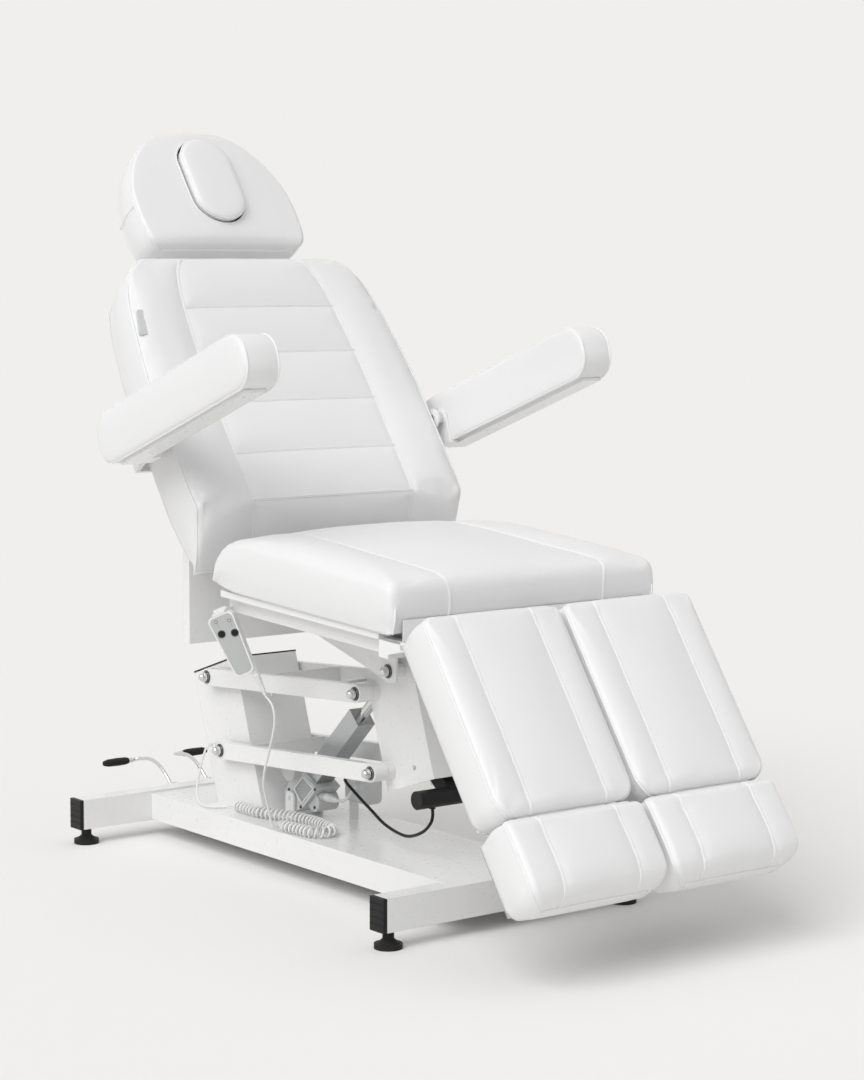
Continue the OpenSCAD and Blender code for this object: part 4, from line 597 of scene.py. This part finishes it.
def puff(pad, held):
    """Inflates a pad's cover as cloth, held along its seams and back, and keeps the result in its mesh."""
    obj = pad.obj
    before = np.array([v.co[:] for v in obj.data.vertices])
    group = obj.vertex_groups.new(name="held")
    group.add(sorted(pad.held | set(held)), 1.0, "REPLACE")
    mod = obj.modifiers.new("Cloth", "CLOTH")
    s = mod.settings
    s.quality = 4
    s.mass = 0.25
    s.tension_stiffness = 25
    s.compression_stiffness = 25
    s.shear_stiffness = 12
    s.bending_stiffness = 0.6
    s.use_pressure = True
    s.uniform_pressure_force = PRESSURE
    s.vertex_group_mass = "held"
    s.effector_weights.gravity = 0
    mod.collision_settings.use_collision = False
    mod.point_cache.frame_start = 1
    mod.point_cache.frame_end = PUFF_FRAMES
    for f in range(1, PUFF_FRAMES + 1):
        scene.frame_set(f)
    shown = obj.evaluated_get(bpy.context.evaluated_depsgraph_get())
    after = np.array([v.co[:] for v in shown.data.vertices])
    obj.modifiers.remove(mod)
    obj.vertex_groups.remove(group)
    scene.frame_set(1)
    if len(after) != len(before) or not np.isfinite(after).all():
        return
    move = after - before
    size = np.linalg.norm(move, axis=1, keepdims=True)
    move *= np.minimum(1, PUFF_MOST / np.maximum(size, 1e-9))
    obj.data.vertices.foreach_set("co", (before + move).ravel())
    obj.data.update()


PIPE = 0.0021
WELT = 0.0013
WELT_GAP = 0.0026
PIPE_LIFT, WELT_LIFT = PIPE * 0.3, WELT * 0.25
SAME_POINT = 2e-4
SMOOTHINGS = 2


def directions(p, closed):
    """Unit directions along a line of points."""
    d = np.roll(p, -1, 0) - np.roll(p, 1, 0) if closed else np.gradient(p, axis=0)
    return d / np.maximum(np.linalg.norm(d, axis=1, keepdims=True), 1e-9)


def tube(name, points, radius, look, body, closed=False, sides=8):
    """A round welt through points, with square-on rings."""
    p = np.asarray(points, float)
    p = p[[0] + [i for i in range(1, len(p)) if np.linalg.norm(p[i] - p[i - 1]) > SAME_POINT]]
    if closed and np.linalg.norm(p[0] - p[-1]) < SAME_POINT:
        p = p[:-1]
    n = len(p)
    d = directions(p, closed)
    a = Vector(d[0]).orthogonal().normalized()
    verts, faces = [], []
    for i in range(n):
        t = Vector(d[i])
        a = (a - t * a.dot(t)).normalized()
        b = t.cross(a)
        for k in range(sides):
            q = 2 * math.pi * k / sides
            verts.append(tuple(Vector(p[i]) + radius * (a * math.cos(q) + b * math.sin(q))))
    for i in range(n if closed else n - 1):
        r, q = i * sides, ((i + 1) % n) * sides
        shift = 0
        if closed and i == n - 1:
            shift = min(range(sides), key=lambda m: (Vector(verts[r]) - Vector(verts[q + m])).length)
        for k in range(sides):
            faces.append((r + k, r + (k + 1) % sides, q + (k + 1 + shift) % sides, q + (k + shift) % sides))
    if not closed:
        faces += [tuple(range(sides - 1, -1, -1)), tuple(range((n - 1) * sides, n * sides))]
    obj = mesh_object(name, verts, faces, look)
    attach(obj, body)


def along(pad, ids, lift, aside=0.0, closed=False):
    """A line on a pad's surface, lifted along its normals and moved aside."""
    p, n = pad.vertex(ids)
    q = p + n * lift + np.cross(directions(p, closed), n) * aside
    for _ in range(SMOOTHINGS):
        if closed:
            q = (np.roll(q, 1, 0) + 2 * q + np.roll(q, -1, 0)) / 4
        else:
            q[1:-1] = (q[:-2] + 2 * q[1:-1] + q[2:]) / 4
    return q


def seam(pad, name, ids, body):
    """A double-stitched seam: two fine welts side by side."""
    for k, tag in ((-1, "a"), (1, "b")):
        tube("%s_%s_%s" % (pad.name, name, tag), along(pad, ids, WELT_LIFT, k * WELT_GAP / 2), WELT,
             "piping", body, sides=6)


def piping(pad, name, ids, body, closed=True):
    tube("%s_%s" % (pad.name, name), along(pad, ids, PIPE_LIFT, 0, closed), PIPE, "piping", body, closed)


def finish_pad(obj, node, body):
    """Lets a cover stand for its CAD node."""
    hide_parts(node)
    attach(obj, body)


# Seat
SEAM_U = 0.6
SEAT_HIGH = [(0, 0.70), (0.005, 0.84), (0.02, 0.94), (0.06, 0.99), (0.3, 1.04), (0.6, 1.09), (0.76, 1.1),
             (0.86, 1.05), (0.93, 0.92), (0.975, 0.7), (1, 0.42)]
SEAT_LOW = [(0, 0.03), (0.03, 0), (0.86, 0.02), (1, 0.12)]
SEAT_SIDE = [(0, 0.965), (0.006, 0.985), (0.03, 1), (0.93, 1), (0.975, 0.995), (1, 0.98)]
SEAT_CROWN = [(0, 0), (0.06, 0.8), (0.3, 1), (0.76, 1.4), (0.93, 0.8), (1, 0)]
seat = Pad("seat_upholstery", ON_SEAT, (0, 0, 0), 552, 300, 96, SEAT_HIGH, SEAT_LOW, SEAT_SIDE, SEAT_CROWN,
           rise=10, fold=20, end_fold=0, u_seams=(SEAM_U,), depth=3.0, foot=9, bulge=1.4, nu=45, ns=61,
           band_rows=14, seed=3)
puff(seat, seat.column(SEAM_U) + seat.column(-SEAM_U) + seat.band[0])
for k, tag in ((-1, "left"), (1, "right")):
    seam(seat, "seam_" + tag, seat.column(k * SEAM_U) + seat.down(k * SEAM_U)[1:], "seat")
    piping(seat, "front_corner_" + tag, seat.down(k * 1.0), "seat", False)
finish_pad(seat.obj, "seat_cushion", "seat")

# Backrest
BACK_SEAMS = (0.133, 0.295, 0.472, 0.647, 0.814)
BACK_SIDE = [(0, 0.929), (0.042, 0.961), (0.1, 0.981), (0.2, 1), (0.525, 1), (0.65, 0.981), (0.76, 0.955),
             (0.84, 0.93), (0.9, 0.897), (0.956, 0.84), (0.985, 0.775), (1, 0.735)]
BACK_HIGH = [(0, 0.09), (0.042, 0.53), (0.1, 0.84), (0.133, 1), (0.97, 1), (0.985, 0.985), (1, 0.96)]
BACK_LOW = [(0, 0), (0.95, 0), (0.985, 0.01), (1, 0.04)]
BACK_CROWN = [(0, 0), (0.042, 0.2), (0.1, 0.7), (0.133, 1), (0.88, 1), (0.956, 0.7), (1, 0.1)]
back = Pad("back_upholstery", ON_BACK, (0, 32, 12.5), 638, 312, 115, BACK_HIGH, BACK_LOW, BACK_SIDE,
           BACK_CROWN, rise=7, fold=9, end_fold=5, u_seams=(SEAM_U,), s_seams=BACK_SEAMS, depth=4.5, foot=11,
           bulge=2, nu=45, ns=61, band_rows=14, seed=5)
held = back.column(SEAM_U) + back.column(-SEAM_U) + back.band[0]
for s in BACK_SEAMS:
    held += back.row(s, SEAM_U)
puff(back, held)
for k, tag in ((-1, "left"), (1, "right")):
    seam(back, "seam_" + tag, back.column(k * SEAM_U), "back")
for i, s in enumerate(BACK_SEAMS):
    seam(back, "channel_%d" % i, back.row(s, SEAM_U), "back")
piping(back, "piping", back.band[0], "back")
finish_pad(back.obj, "back_cushion", "back")

# Headrest
HEAD_SIDE = [(0, 0.84), (0.02, 0.91), (0.07, 0.965), (0.16, 0.992), (0.3, 1), (0.45, 0.985), (0.6, 0.915),
             (0.74, 0.8), (0.85, 0.655), (0.93, 0.49), (0.98, 0.31), (1, 0.17)]
HEAD_HIGH = [(0, 0.8), (0.02, 0.94), (0.07, 1), (0.85, 1), (0.93, 0.99), (0.98, 0.95), (1, 0.86)]
HEAD_CROWN = [(0, 0), (0.07, 0.7), (0.16, 1), (0.6, 1), (0.85, 0.8), (0.93, 0.6), (1, 0)]
HEAD_LOW = [(0, 0.06), (0.05, 0), (0.93, 0.01), (1, 0.1)]
HEAD_AT, HEAD_UNDER = 708, 34.5
HEAD_LONG, HEAD_HALF, HEAD_THICK, HEAD_RISE = 284, 188, 84.0, 10
HEAD_BAND_SEAM = 0.34
PLUG_W, PLUG_L, PLUG_MID = 112.0, 196.0, 0.52 * HEAD_LONG
# The second gap and the second levels are for a black sleeve in the hole: painted shade in the gap round the
# plug.
HOLE_GAP, SHADE_SLEEVE_GAP, RIM_GAP = 8, 7.4, 11
HOLE_LEVELS, SHADE_SLEEVE_LEVELS = (20.0, 170.0), (44.0, 118.0)
RIM, RIM_SINK = 0.0026, 1.2
HOLE_STEPS, PLUG_STEPS, OVAL_EASE = 96, 64, 6
PLUG_ROWS = [(8, 0.93), (20, 0.985), (70, 0.985), (84, 0.985), (92, 0.99), (100, 1.0), (104, 1.0),
             (106.4, 0.985), (108.2, 0.95), (109.6, 0.89), (110.6, 0.76), (111.2, 0.55), (111.6, 0.27),
             (111.7, 0.05)]
PLUG_SEAM = 0.0012
head = Pad("headrest_upholstery", ON_BACK, (0, HEAD_AT, HEAD_UNDER), HEAD_LONG, HEAD_HALF, HEAD_THICK,
           HEAD_HIGH, HEAD_LOW, HEAD_SIDE, HEAD_CROWN, rise=HEAD_RISE, fold=6, end_fold=3, foot=5, bulge=3,
           nu=81, ns=71, seed=7)


def oval(w, l, count):
    """The outline of a slot with round ends, anticlockwise, in even steps."""
    r, h = w / 2, (l - w) / 2
    out = []
    for k in range(count):
        a = 2 * math.pi * k / count
        rise = math.sin(a)
        out.append((r * math.cos(a), r * rise + math.copysign(h, rise) * min(1, abs(rise) * OVAL_EASE)))
    return out


def plug_ring(grow, z, count, k=1.0):
    """The plug's outline, wider by grow and scaled by k, at height z over the back."""
    return [(x * k, y * k + HEAD_AT + PLUG_MID, z) for x, y in oval(PLUG_W + grow, PLUG_L + grow, count)]


def loft(name, rings, look, place_at, cap=True):
    n, m = len(rings), len(rings[0])
    points = [p for r in rings for p in r]
    faces = [(i * m + j, i * m + (j + 1) % m, (i + 1) * m + (j + 1) % m, (i + 1) * m + j)
             for i in range(n - 1) for j in range(m)]
    if cap:
        faces += [tuple(range(m - 1, -1, -1)), tuple(range((n - 1) * m, n * m))]
    return mesh_object(name, to_world(place_at, points), faces, look)


hole = loft("headrest_hole_cutter", [plug_ring(HOLE_GAP, z, HOLE_STEPS) for z in HOLE_LEVELS], "vinyl",
            ON_BACK)
cut = head.obj.modifiers.new("hole", "BOOLEAN")
cut.operation = "DIFFERENCE"
cut.solver = "EXACT"
cut.object = hole
head_band = along(head, head.band[0], PIPE_LIFT, 0, True)
for k, edge in enumerate((0, len(head.us) - 1)):
    spot = head.ring.index((int(abs(head.S - HEAD_BAND_SEAM).argmin()), edge))
    seam(head, "band_seam_%d" % k, [row[spot] for row in head.band], "headrest")
bpy.context.view_layer.update()
cut_mesh = bpy.data.meshes.new_from_object(head.obj.evaluated_get(bpy.context.evaluated_depsgraph_get()))
head.obj.modifiers.remove(cut)
head.obj.data = cut_mesh
bpy.data.objects.remove(hole)
dress(head.obj, "vinyl")
bevel_normals(head.obj, 50)
tube("headrest_piping", head_band, PIPE, "piping", "headrest", True)
finish_pad(head.obj, "headrest_cushion", "headrest")


def head_top(x, y):
    """Height of the headrest's face over the back, at a point of it."""
    s = np.array([y / HEAD_LONG])
    half = HEAD_HALF * float(lookup(HEAD_SIDE, s)[0])
    crown = HEAD_RISE * float(lookup(HEAD_CROWN, s)[0]) * (1 - (x / half) ** 2)
    return HEAD_UNDER + HEAD_THICK * float(lookup(HEAD_HIGH, s)[0]) + crown


rim = [(x, y + HEAD_AT + PLUG_MID, head_top(x, y + PLUG_MID) - RIM_SINK)
       for x, y in oval(PLUG_W + RIM_GAP, PLUG_L + RIM_GAP, HOLE_STEPS)]
tube("headrest_hole_rim", to_world(ON_BACK, rim), RIM, "vinyl", "headrest", True)
# A black rubber sleeve on the hole's wall: painted shade, which darkens the gap round the plug.
painted_shade_sleeve = loft("headrest_hole_lining", [plug_ring(SHADE_SLEEVE_GAP, z, HOLE_STEPS) for z in SHADE_SLEEVE_LEVELS], "rubber",
              ON_BACK, False)
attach(painted_shade_sleeve, "headrest")
plug = loft("plug_upholstery", [plug_ring(0, HEAD_UNDER + z, PLUG_STEPS, k) for z, k in PLUG_ROWS], "vinyl",
            ON_BACK)
finish_pad(plug, "face_plug", "plug")
for z, k, tag in ((104.4, 1.0, "face"), (100, 1.002, "side")):
    tube("plug_seam_" + tag, to_world(ON_BACK, plug_ring(0, HEAD_UNDER + z, PLUG_STEPS, k)), PLUG_SEAM,
         "piping", "plug", True, 6)

# Legs and feet
LEG_SEAM_U = 0.56
LEG_HIGH = [(0, 0.9), (0.02, 0.96), (0.06, 1), (0.95, 1), (0.985, 0.985), (1, 0.95)]
LEG_CROWN = [(0, 0.1), (0.06, 0.7), (0.3, 1), (0.86, 0.9), (1, 0.3)]
FOOT_HIGH = [(0, 0.7), (0.03, 0.84), (0.09, 0.97), (0.18, 1.05), (0.35, 1.08), (0.9, 1.06), (0.97, 1),
             (1, 0.93)]
FOOT_CROWN = [(0, 0), (0.09, 0.5), (0.35, 1), (0.9, 0.7), (1, 0.1)]
LEG_LOW = [(0, 0.08), (0.04, 0), (0.985, 0), (1, 0.03)]
LEG_LONG, FOOT_LONG, LEG_HALF, LEG_THICK, LEG_UNDER = 366, 149, 145, 88, 10.3
LEG_TOP, FOOT_TOP = 6.4, -364.6
for side, tag in ((-1, "left"), (1, "right")):
    leg = Pad("leg_upholstery_" + tag, ON_LEG[side], (0, LEG_TOP - LEG_LONG, LEG_UNDER), LEG_LONG, LEG_HALF,
              LEG_THICK, LEG_HIGH, LEG_LOW, STRAIGHT, LEG_CROWN, rise=9, corners=(36, 14), fold=8, end_fold=6,
              u_seams=(LEG_SEAM_U,), depth=4.5, foot=5, bulge=3, nu=33, ns=49, seed=11 + side)
    puff(leg, leg.column(LEG_SEAM_U) + leg.column(-LEG_SEAM_U) + leg.band[0])
    foot = Pad("foot_upholstery_" + tag, ON_LEG[side], (0, FOOT_TOP - FOOT_LONG, LEG_UNDER), FOOT_LONG,
               LEG_HALF, LEG_THICK, FOOT_HIGH, LEG_LOW, STRAIGHT, FOOT_CROWN, rise=9, corners=(34, 12), fold=9,
               end_fold=5, u_seams=(LEG_SEAM_U,), depth=4.5, foot=5, bulge=3, nu=33, ns=29, seed=21 + side)
    puff(foot, foot.column(LEG_SEAM_U) + foot.column(-LEG_SEAM_U) + foot.band[0])
    pads = ((leg, "leg_"), (foot, "foot_"))
    for k, t in ((-1, "a"), (1, "b")):
        for pad, kind in pads:
            seam(pad, "seam_" + t, pad.column(k * LEG_SEAM_U), kind + tag)
    for pad, kind in pads:
        piping(pad, "piping", pad.band[0], kind + tag)
    for pad, kind in pads:
        finish_pad(pad.obj, kind + "cushion_" + tag, kind + tag)

# Armrests: each pad lies on its side, with its face outwards
REST_HALF, REST_LONG, REST_ROUND, REST_LEAST, REST_IN, REST_END = 50.0, 263.0, 44.0, 2.0, 345.0, 70.0
REST_ROWS = [(0.6, 46), (0.3, 34), (0, 22), (0, 12), (0, 6), (0.8, 2.4), (2.6, 1.0), (8, 0.3), (17, -0.4),
             (27, -0.8), (37, -1.0), (47, -0.8), (57, -0.3), (64, 0.3), (67.4, 1.0), (70, 2.4), (72, 4.8),
             (73.4, 9), (74.6, 16), (75.6, 25), (76.3, 35), (76.6, 45)]
REST_INNER, REST_EDGE = 6, 14
ARC_STEPS, END_RUN, SIDE_RUN = 8, 7, 44
PIPE_OUT = 0.0006


def rounded(inset):
    """A rounded oblong's outline, drawn in by inset, with the same number of points for every inset."""
    hx, hy, rad = REST_HALF - inset, REST_LONG - inset, max(REST_ROUND - inset, REST_LEAST)
    out = []
    for q, (sx, sy) in enumerate(((1, 1), (-1, 1), (-1, -1), (1, -1))):
        for k in range(ARC_STEPS + 1):
            a = math.radians(90 * q + 90 * k / ARC_STEPS)
            out.append((sx * (hx - rad) + rad * math.cos(a), sy * (hy - rad) + rad * math.sin(a)))
        a, nx, ny = out[-1], *(((-1, 1), (-1, -1), (1, -1), (1, 1))[q])
        b = (nx * (hx - rad), ny * hy) if q in (0, 2) else (nx * hx, ny * (hy - rad))
        n = END_RUN if q in (0, 2) else SIDE_RUN
        out += [(a[0] + (b[0] - a[0]) * k / n, a[1] + (b[1] - a[1]) * k / n) for k in range(1, n)]
    return out


for side, tag in ((-1, "left"), (1, "right")):
    turn = Matrix(((0, 0, side, 0), (0, 1, 0, 0), (-side, 0, 0, 0), (0, 0, 0, 1)))
    body = "armrest_" + tag
    rings = [[(x, y + REST_END - REST_LONG, REST_IN + z) for x, y in rounded(inset)] for z, inset in REST_ROWS]
    m = len(rings[0])
    obj = loft("armrest_upholstery_" + tag, rings, "vinyl", ON_REST @ turn)
    for row, name in ((REST_EDGE, "piping"), (REST_INNER, "inner_piping")):
        line = np.array([obj.data.vertices[row * m + k].co[:] for k in range(m)])
        away = line - line.mean(0)
        away /= np.linalg.norm(away, axis=1, keepdims=True)
        tube("%s_%s" % (obj.name, name), line + away * PIPE_OUT, PIPE * 0.9, "piping", body, True)
    finish_pad(obj, "armrest_cushion_" + tag, body)


# ---------------------------------------------------------------- small hardware
def turned(name, profile, at, axis, look, body, sides=32):
    """A piece turned from (along, radius) pairs about an axis, in the shared frame's millimetres."""
    axis = Vector(axis).normalized()
    a = axis.orthogonal().normalized()
    b = axis.cross(a)
    base = Vector(at)
    rings = []
    for h, r in profile:
        rings.append([tuple((base + axis * h + r * (a * math.cos(2 * math.pi * k / sides)
                                                    + b * math.sin(2 * math.pi * k / sides))) * MM)
                      for k in range(sides)])
    obj = loft(name, rings, look, Matrix.Identity(4))
    bevel_normals(obj)
    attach(obj, body)


BOLTS = (
    ("column_pivot_bolts", "root", (325.536, 346.746)),
    ("column_pivot_bolts", "root", (278.257, 205.446)),
    ("carriage_pivot_bolts", "carriage", (-176.957, 380.121)),
    ("carriage_pivot_bolts", "carriage", (-224.236, 238.821)),
    ("seat_pivot_bolts", "seat", (-256.463, 430.555)),
)
NUT_REACH = 17.84
WASHER = [(0.0, 9.0), (0.0, 13.0), (0.8, 13.0), (1.1, 12.6), (1.1, 9.0)]
COLLAR = [(2.45, 9.3), (2.45, 10.7), (3.6, 10.5), (3.9, 9.9), (3.9, 9.3)]
for i, (node, body, (y, z)) in enumerate(BOLTS):
    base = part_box(node)[1][0] / MM - NUT_REACH
    for side in (-1, 1):
        out = Vector((side, 0, 0))
        tag = "%d_%s" % (i, "left" if side < 0 else "right")
        turned("washer_seal_" + tag, WASHER, (side * base, y, z), out, "dark_steel", body)
        turned("nut_collar_" + tag, COLLAR, (side * base, y, z), out, "black_plastic", body)

# Gearbox: a raised frame round a blank window, and its screws
ON_LIFT = place(128, 126.5, 180 - 43.66)
GEAR_X = -28.0
WINDOW_IN, CORNER_CUT, CORNER_STEPS = 1.0, 3, 4
SLAB_ROWS = ((0, 1.0), (0.7, 1.0), (1, 0.975))
SCREW = [(0, 3.2), (1.2, 3.2), (1.7, 2.6), (1.7, 1.3), (0.7, 1.2)]
SCREWS = ((GEAR_X, 2, -18), (GEAR_X, 12, 30), (GEAR_X, 76, 33), (GEAR_X, 56, -20), (-20.0, 40, 52))


def slab(name, corners, depth, look, body, m, x):
    """A thin plate with rounded corners on a plane of constant x."""
    c = np.array(corners, float)
    mid = c.mean(0)
    outline = []
    for i in range(len(c)):
        a, b, d = c[i - 1], c[i], c[(i + 1) % len(c)]
        u, v = (a - b) / np.linalg.norm(a - b), (d - b) / np.linalg.norm(d - b)
        for k in range(CORNER_STEPS + 1):
            s = k / CORNER_STEPS
            outline.append(b + u * CORNER_CUT * (1 - s) ** 2 + v * CORNER_CUT * s ** 2)
    rings = []
    for share, k in SLAB_ROWS:
        rings.append([(x - depth * share, *(mid + (p - mid) * k)) for p in outline])
    obj = loft(name, rings, look, m)
    bevel_normals(obj)
    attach(obj, body)


def bar_loop(name, corners, width, depth, look, body, m, x):
    """A raised frame round a polygon on a plane of constant x."""
    c = np.array(corners, float)
    mid = c.mean(0)
    size = np.abs(c - mid).mean()
    inner, outer = [], []
    for p in c:
        inner.append(mid + (p - mid) * (1 - width / size / 2))
        outer.append(mid + (p - mid) * (1 + width / size / 2))
    n = len(c)
    points = [(x - out, *p) for out, line in ((0, outer), (depth, outer), (depth, inner), (0, inner))
              for p in line]
    faces = []
    for r in range(4):
        q = (r + 1) % 4
        faces += [(r * n + k, r * n + (k + 1) % n, q * n + (k + 1) % n, q * n + k) for k in range(n)]
    obj = mesh_object(name, to_world(m, points), faces, look, False)
    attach(obj, body)


WINDOW = [(19, -8), (19, 28), (72, 28), (60, -8)]
slab("gearbox_window", WINDOW, 0.5, "dark_window", "lift_drive", ON_LIFT, GEAR_X + WINDOW_IN)
bar_loop("gearbox_frame", WINDOW, 3.0, 1.6, "white_plastic", "lift_drive", ON_LIFT, GEAR_X)
for i, point in enumerate(SCREWS):
    turned("gearbox_screw_%d" % i, SCREW, to_world(ON_LIFT, [point])[0] / MM, (-1, 0, 0), "dark_steel",
           "lift_drive", 16)


def flat_plate(name, place_at, low, high, look, body, slot):
    """A flat plate between two like outlines, the first one seen from behind."""
    n = len(low)
    faces = [tuple(range(n - 1, -1, -1)), tuple(range(n, 2 * n))]
    faces += [(k, (k + 1) % n, n + (k + 1) % n, n + k) for k in range(n)]
    obj = mesh_object(name, to_world(place_at, low + high), faces, look, False)
    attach(obj, body)


# Backrest: a blank tab sewn in beside its left piping
TAB = [(-296, 490), (-271, 489), (-268, 491), (-257, 542), (-259, 545), (-284, 546), (-287, 543), (-298, 493)]
TAB_LOW, TAB_HIGH = 124.0, 130.4
flat_plate("back_blank_tab", ON_BACK, *[[(x, t, n) for x, t in TAB] for n in (TAB_LOW, TAB_HIGH)],
           "pale_plastic", "back", "grey_plastic")

# Handset: for each button a ring, an arrow, two marks and a lamp, and a slit in the case's top
HAND = (Matrix.Translation((-288 * MM, -15 * MM, 527 * MM)) @ Matrix.Rotation(math.radians(-45), 4, "Z")
        @ Matrix.Rotation(math.radians(3), 4, "X") @ Matrix.Rotation(math.radians(-24), 4, "Y")
        @ Matrix.Scale(MM, 4))
FACE = -11.0
BUTTON_PROUD = 1.2
OUT = HAND.to_3x3() @ Vector((0, -1, 0))
ARROW_UP = ((-2.2, -1.4), (2.2, -1.4), (0, 2.4))
ARROW_DOWN = ((-2.2, 1.4), (0, -2.4), (2.2, 1.4))
CASE_LONG = 124
BUTTONS = (("up_button", -10, -CASE_LONG * 0.29, ARROW_UP),
           ("down_button", 14, -CASE_LONG * 0.345, ARROW_DOWN))
BUTTON_RING = [(0.05, 6.0), (0.05, 7.6), (0.6, 7.4), (0.9, 6.8), (0.6, 6.1)]
LAMP_OVER = 25
LAMP_RING = [(0.02, 2.6), (0.02, 3.5), (0.3, 3.4), (0.35, 3.0), (0.3, 2.7)]
LAMP_LENS = [(0.05, 2.5), (0.25, 2.2), (0.35, 1.2), (0.38, 0.2)]
MARK = [(0.02, 0.9), (0.15, 0.8), (0.2, 0.2)]
MARK_ASIDE, MARKS_OVER = 0.5, (13, 17)
ARROW_LEVELS = (-0.4, 0.25)
ARROW_FACES = [(0, 1, 2), (5, 4, 3), (0, 3, 4, 1), (1, 4, 5, 2), (2, 5, 3, 0)]
SLIT = ((-15, -8.2), (15, -8.2), (15.6, -7.6), (15, -7.0), (-15, -7.0), (-15.6, -7.6))
SLIT_LEVELS = (-0.9, -0.55)


def on_face(name, profile, x, z, look, sides=32):
    at = to_world(HAND, [(x, FACE, z)])[0] / MM
    turned(name, profile, at, OUT, look, "seat", sides)


for i, (body, x, z, outline) in enumerate(BUTTONS):
    on_face("button_ring_%d" % i, BUTTON_RING, x, z, "dark_steel")
    on_face("lamp_ring_%d" % i, LAMP_RING, x, z + LAMP_OVER, "grey_mark")
    on_face("lamp_lens_%d" % i, LAMP_LENS, x, z + LAMP_OVER, "pale_plastic")
    for k, over in enumerate(MARKS_OVER):
        on_face("face_mark_%d_%d" % (i, k), MARK, x + MARK_ASIDE, z + over, "grey_mark", 8)
    tri = [(x + a, FACE - BUTTON_PROUD - h, z + b) for h in ARROW_LEVELS for a, b in outline]
    arrow = mesh_object("button_arrow_%d" % i, to_world(HAND, tri), ARROW_FACES, "pale_plastic", False)
    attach(arrow, body)
flat_plate("handset_slit", HAND, *[[(x, y, z) for x, y in SLIT] for z in SLIT_LEVELS], "black_plastic", "seat",
           "black_plastic")


# ---------------------------------------------------------------- floor, light
PAPER = (0.871, 0.863, 0.847)
FLOOR_HALF = 30.0
FLOOR_LIT = (0.895, 0.887, 0.870)
FADE_START, FADE_END = 1.0, 2.6
WORLD_LIGHT = 0.26
SKY_LIGHT = 0.5
SUN_POWER = 1.75
SUN_ANGLE = 46
SUN_TOWARD = (0.86, 0.3, -0.85)


def math_node(tree, kind, first, second):
    """The result of a math node on two outputs, or on an output and a number."""
    node = tree.nodes.new("ShaderNodeMath")
    node.operation = kind
    tree.links.new(first, node.inputs[0])
    if isinstance(second, (int, float)):
        node.inputs[1].default_value = second
    else:
        tree.links.new(second, node.inputs[1])
    return node.outputs[0]


def plain_rays(tree):
    """1 for the camera, mirror and glass rays, which see the flat background, and 0 for all others."""
    path = tree.nodes.new("ShaderNodeLightPath").outputs
    seen = math_node(tree, "MAXIMUM", path["Is Camera Ray"], path["Is Glossy Ray"])
    return math_node(tree, "MAXIMUM", seen, path["Is Transmission Ray"])


def mix_shaders(tree, share, first, second, surface):
    mix = tree.nodes.new("ShaderNodeMixShader")
    for output, socket in zip((share, first, second), mix.inputs):
        tree.links.new(output, socket)
    tree.links.new(mix.outputs[0], surface)


# The floor takes the light and the shadow near the chair, and fades into the flat background
floor_data = bpy.data.meshes.new("floor")
floor_data.from_pydata([(x * FLOOR_HALF, y * FLOOR_HALF, 0) for x, y in ((-1, -1), (1, -1), (1, 1), (-1, 1))],
                       [], [(0, 1, 2, 3)])
floor = bpy.data.objects.new("floor", floor_data)
scene.collection.objects.link(floor)
floor_mat = bpy.data.materials.new("pale_floor")
floor_mat.use_nodes = True
tree = floor_mat.node_tree
tree.nodes.clear()
surface = tree.nodes.new("ShaderNodeOutputMaterial")
lit = tree.nodes.new("ShaderNodeBsdfDiffuse")
lit.inputs["Color"].default_value = (*FLOOR_LIT, 1)
flat = tree.nodes.new("ShaderNodeEmission")
flat.inputs["Color"].default_value = (*PAPER, 1)
coord = tree.nodes.new("ShaderNodeTexCoord")
far = tree.nodes.new("ShaderNodeVectorMath")
far.operation = "LENGTH"
tree.links.new(coord.outputs["Object"], far.inputs[0])
fade = tree.nodes.new("ShaderNodeMapRange")
fade.interpolation_type = "SMOOTHSTEP"
fade.inputs["From Min"].default_value = FADE_START
fade.inputs["From Max"].default_value = FADE_END
tree.links.new(far.outputs["Value"], fade.inputs["Value"])
share = math_node(tree, "MULTIPLY", fade.outputs["Result"], plain_rays(tree))
mix_shaders(tree, share, lit.outputs[0], flat.outputs[0], surface.inputs["Surface"])
floor_data.materials.append(floor_mat)

# The world: a soft light that grows with height, behind the same flat background
world = bpy.data.worlds.new("world")
scene.world = world
world.use_nodes = True
tree = world.node_tree
soft = tree.nodes["Background"]
soft.inputs["Color"].default_value = (1, 1, 1, 1)
coord = tree.nodes.new("ShaderNodeTexCoord")
split = tree.nodes.new("ShaderNodeSeparateXYZ")
tree.links.new(coord.outputs["Generated"], split.inputs[0])
height = math_node(tree, "MAXIMUM", split.outputs["Z"], 0)
glow = math_node(tree, "ADD", math_node(tree, "MULTIPLY", height, SKY_LIGHT), WORLD_LIGHT)
tree.links.new(glow, soft.inputs["Strength"])
paper = tree.nodes.new("ShaderNodeBackground")
paper.inputs["Color"].default_value = (*PAPER, 1)
mix_shaders(tree, plain_rays(tree), soft.outputs[0], paper.outputs[0],
            tree.nodes["World Output"].inputs["Surface"])

sun_data = bpy.data.lights.new("key", "SUN")
sun_data.energy = SUN_POWER
sun_data.angle = math.radians(SUN_ANGLE)
sun = bpy.data.objects.new("key", sun_data)
sun.rotation_euler = Vector(SUN_TOWARD).to_track_quat("-Z", "Y").to_euler()
scene.collection.objects.link(sun)

scene.view_settings.view_transform = "Standard"
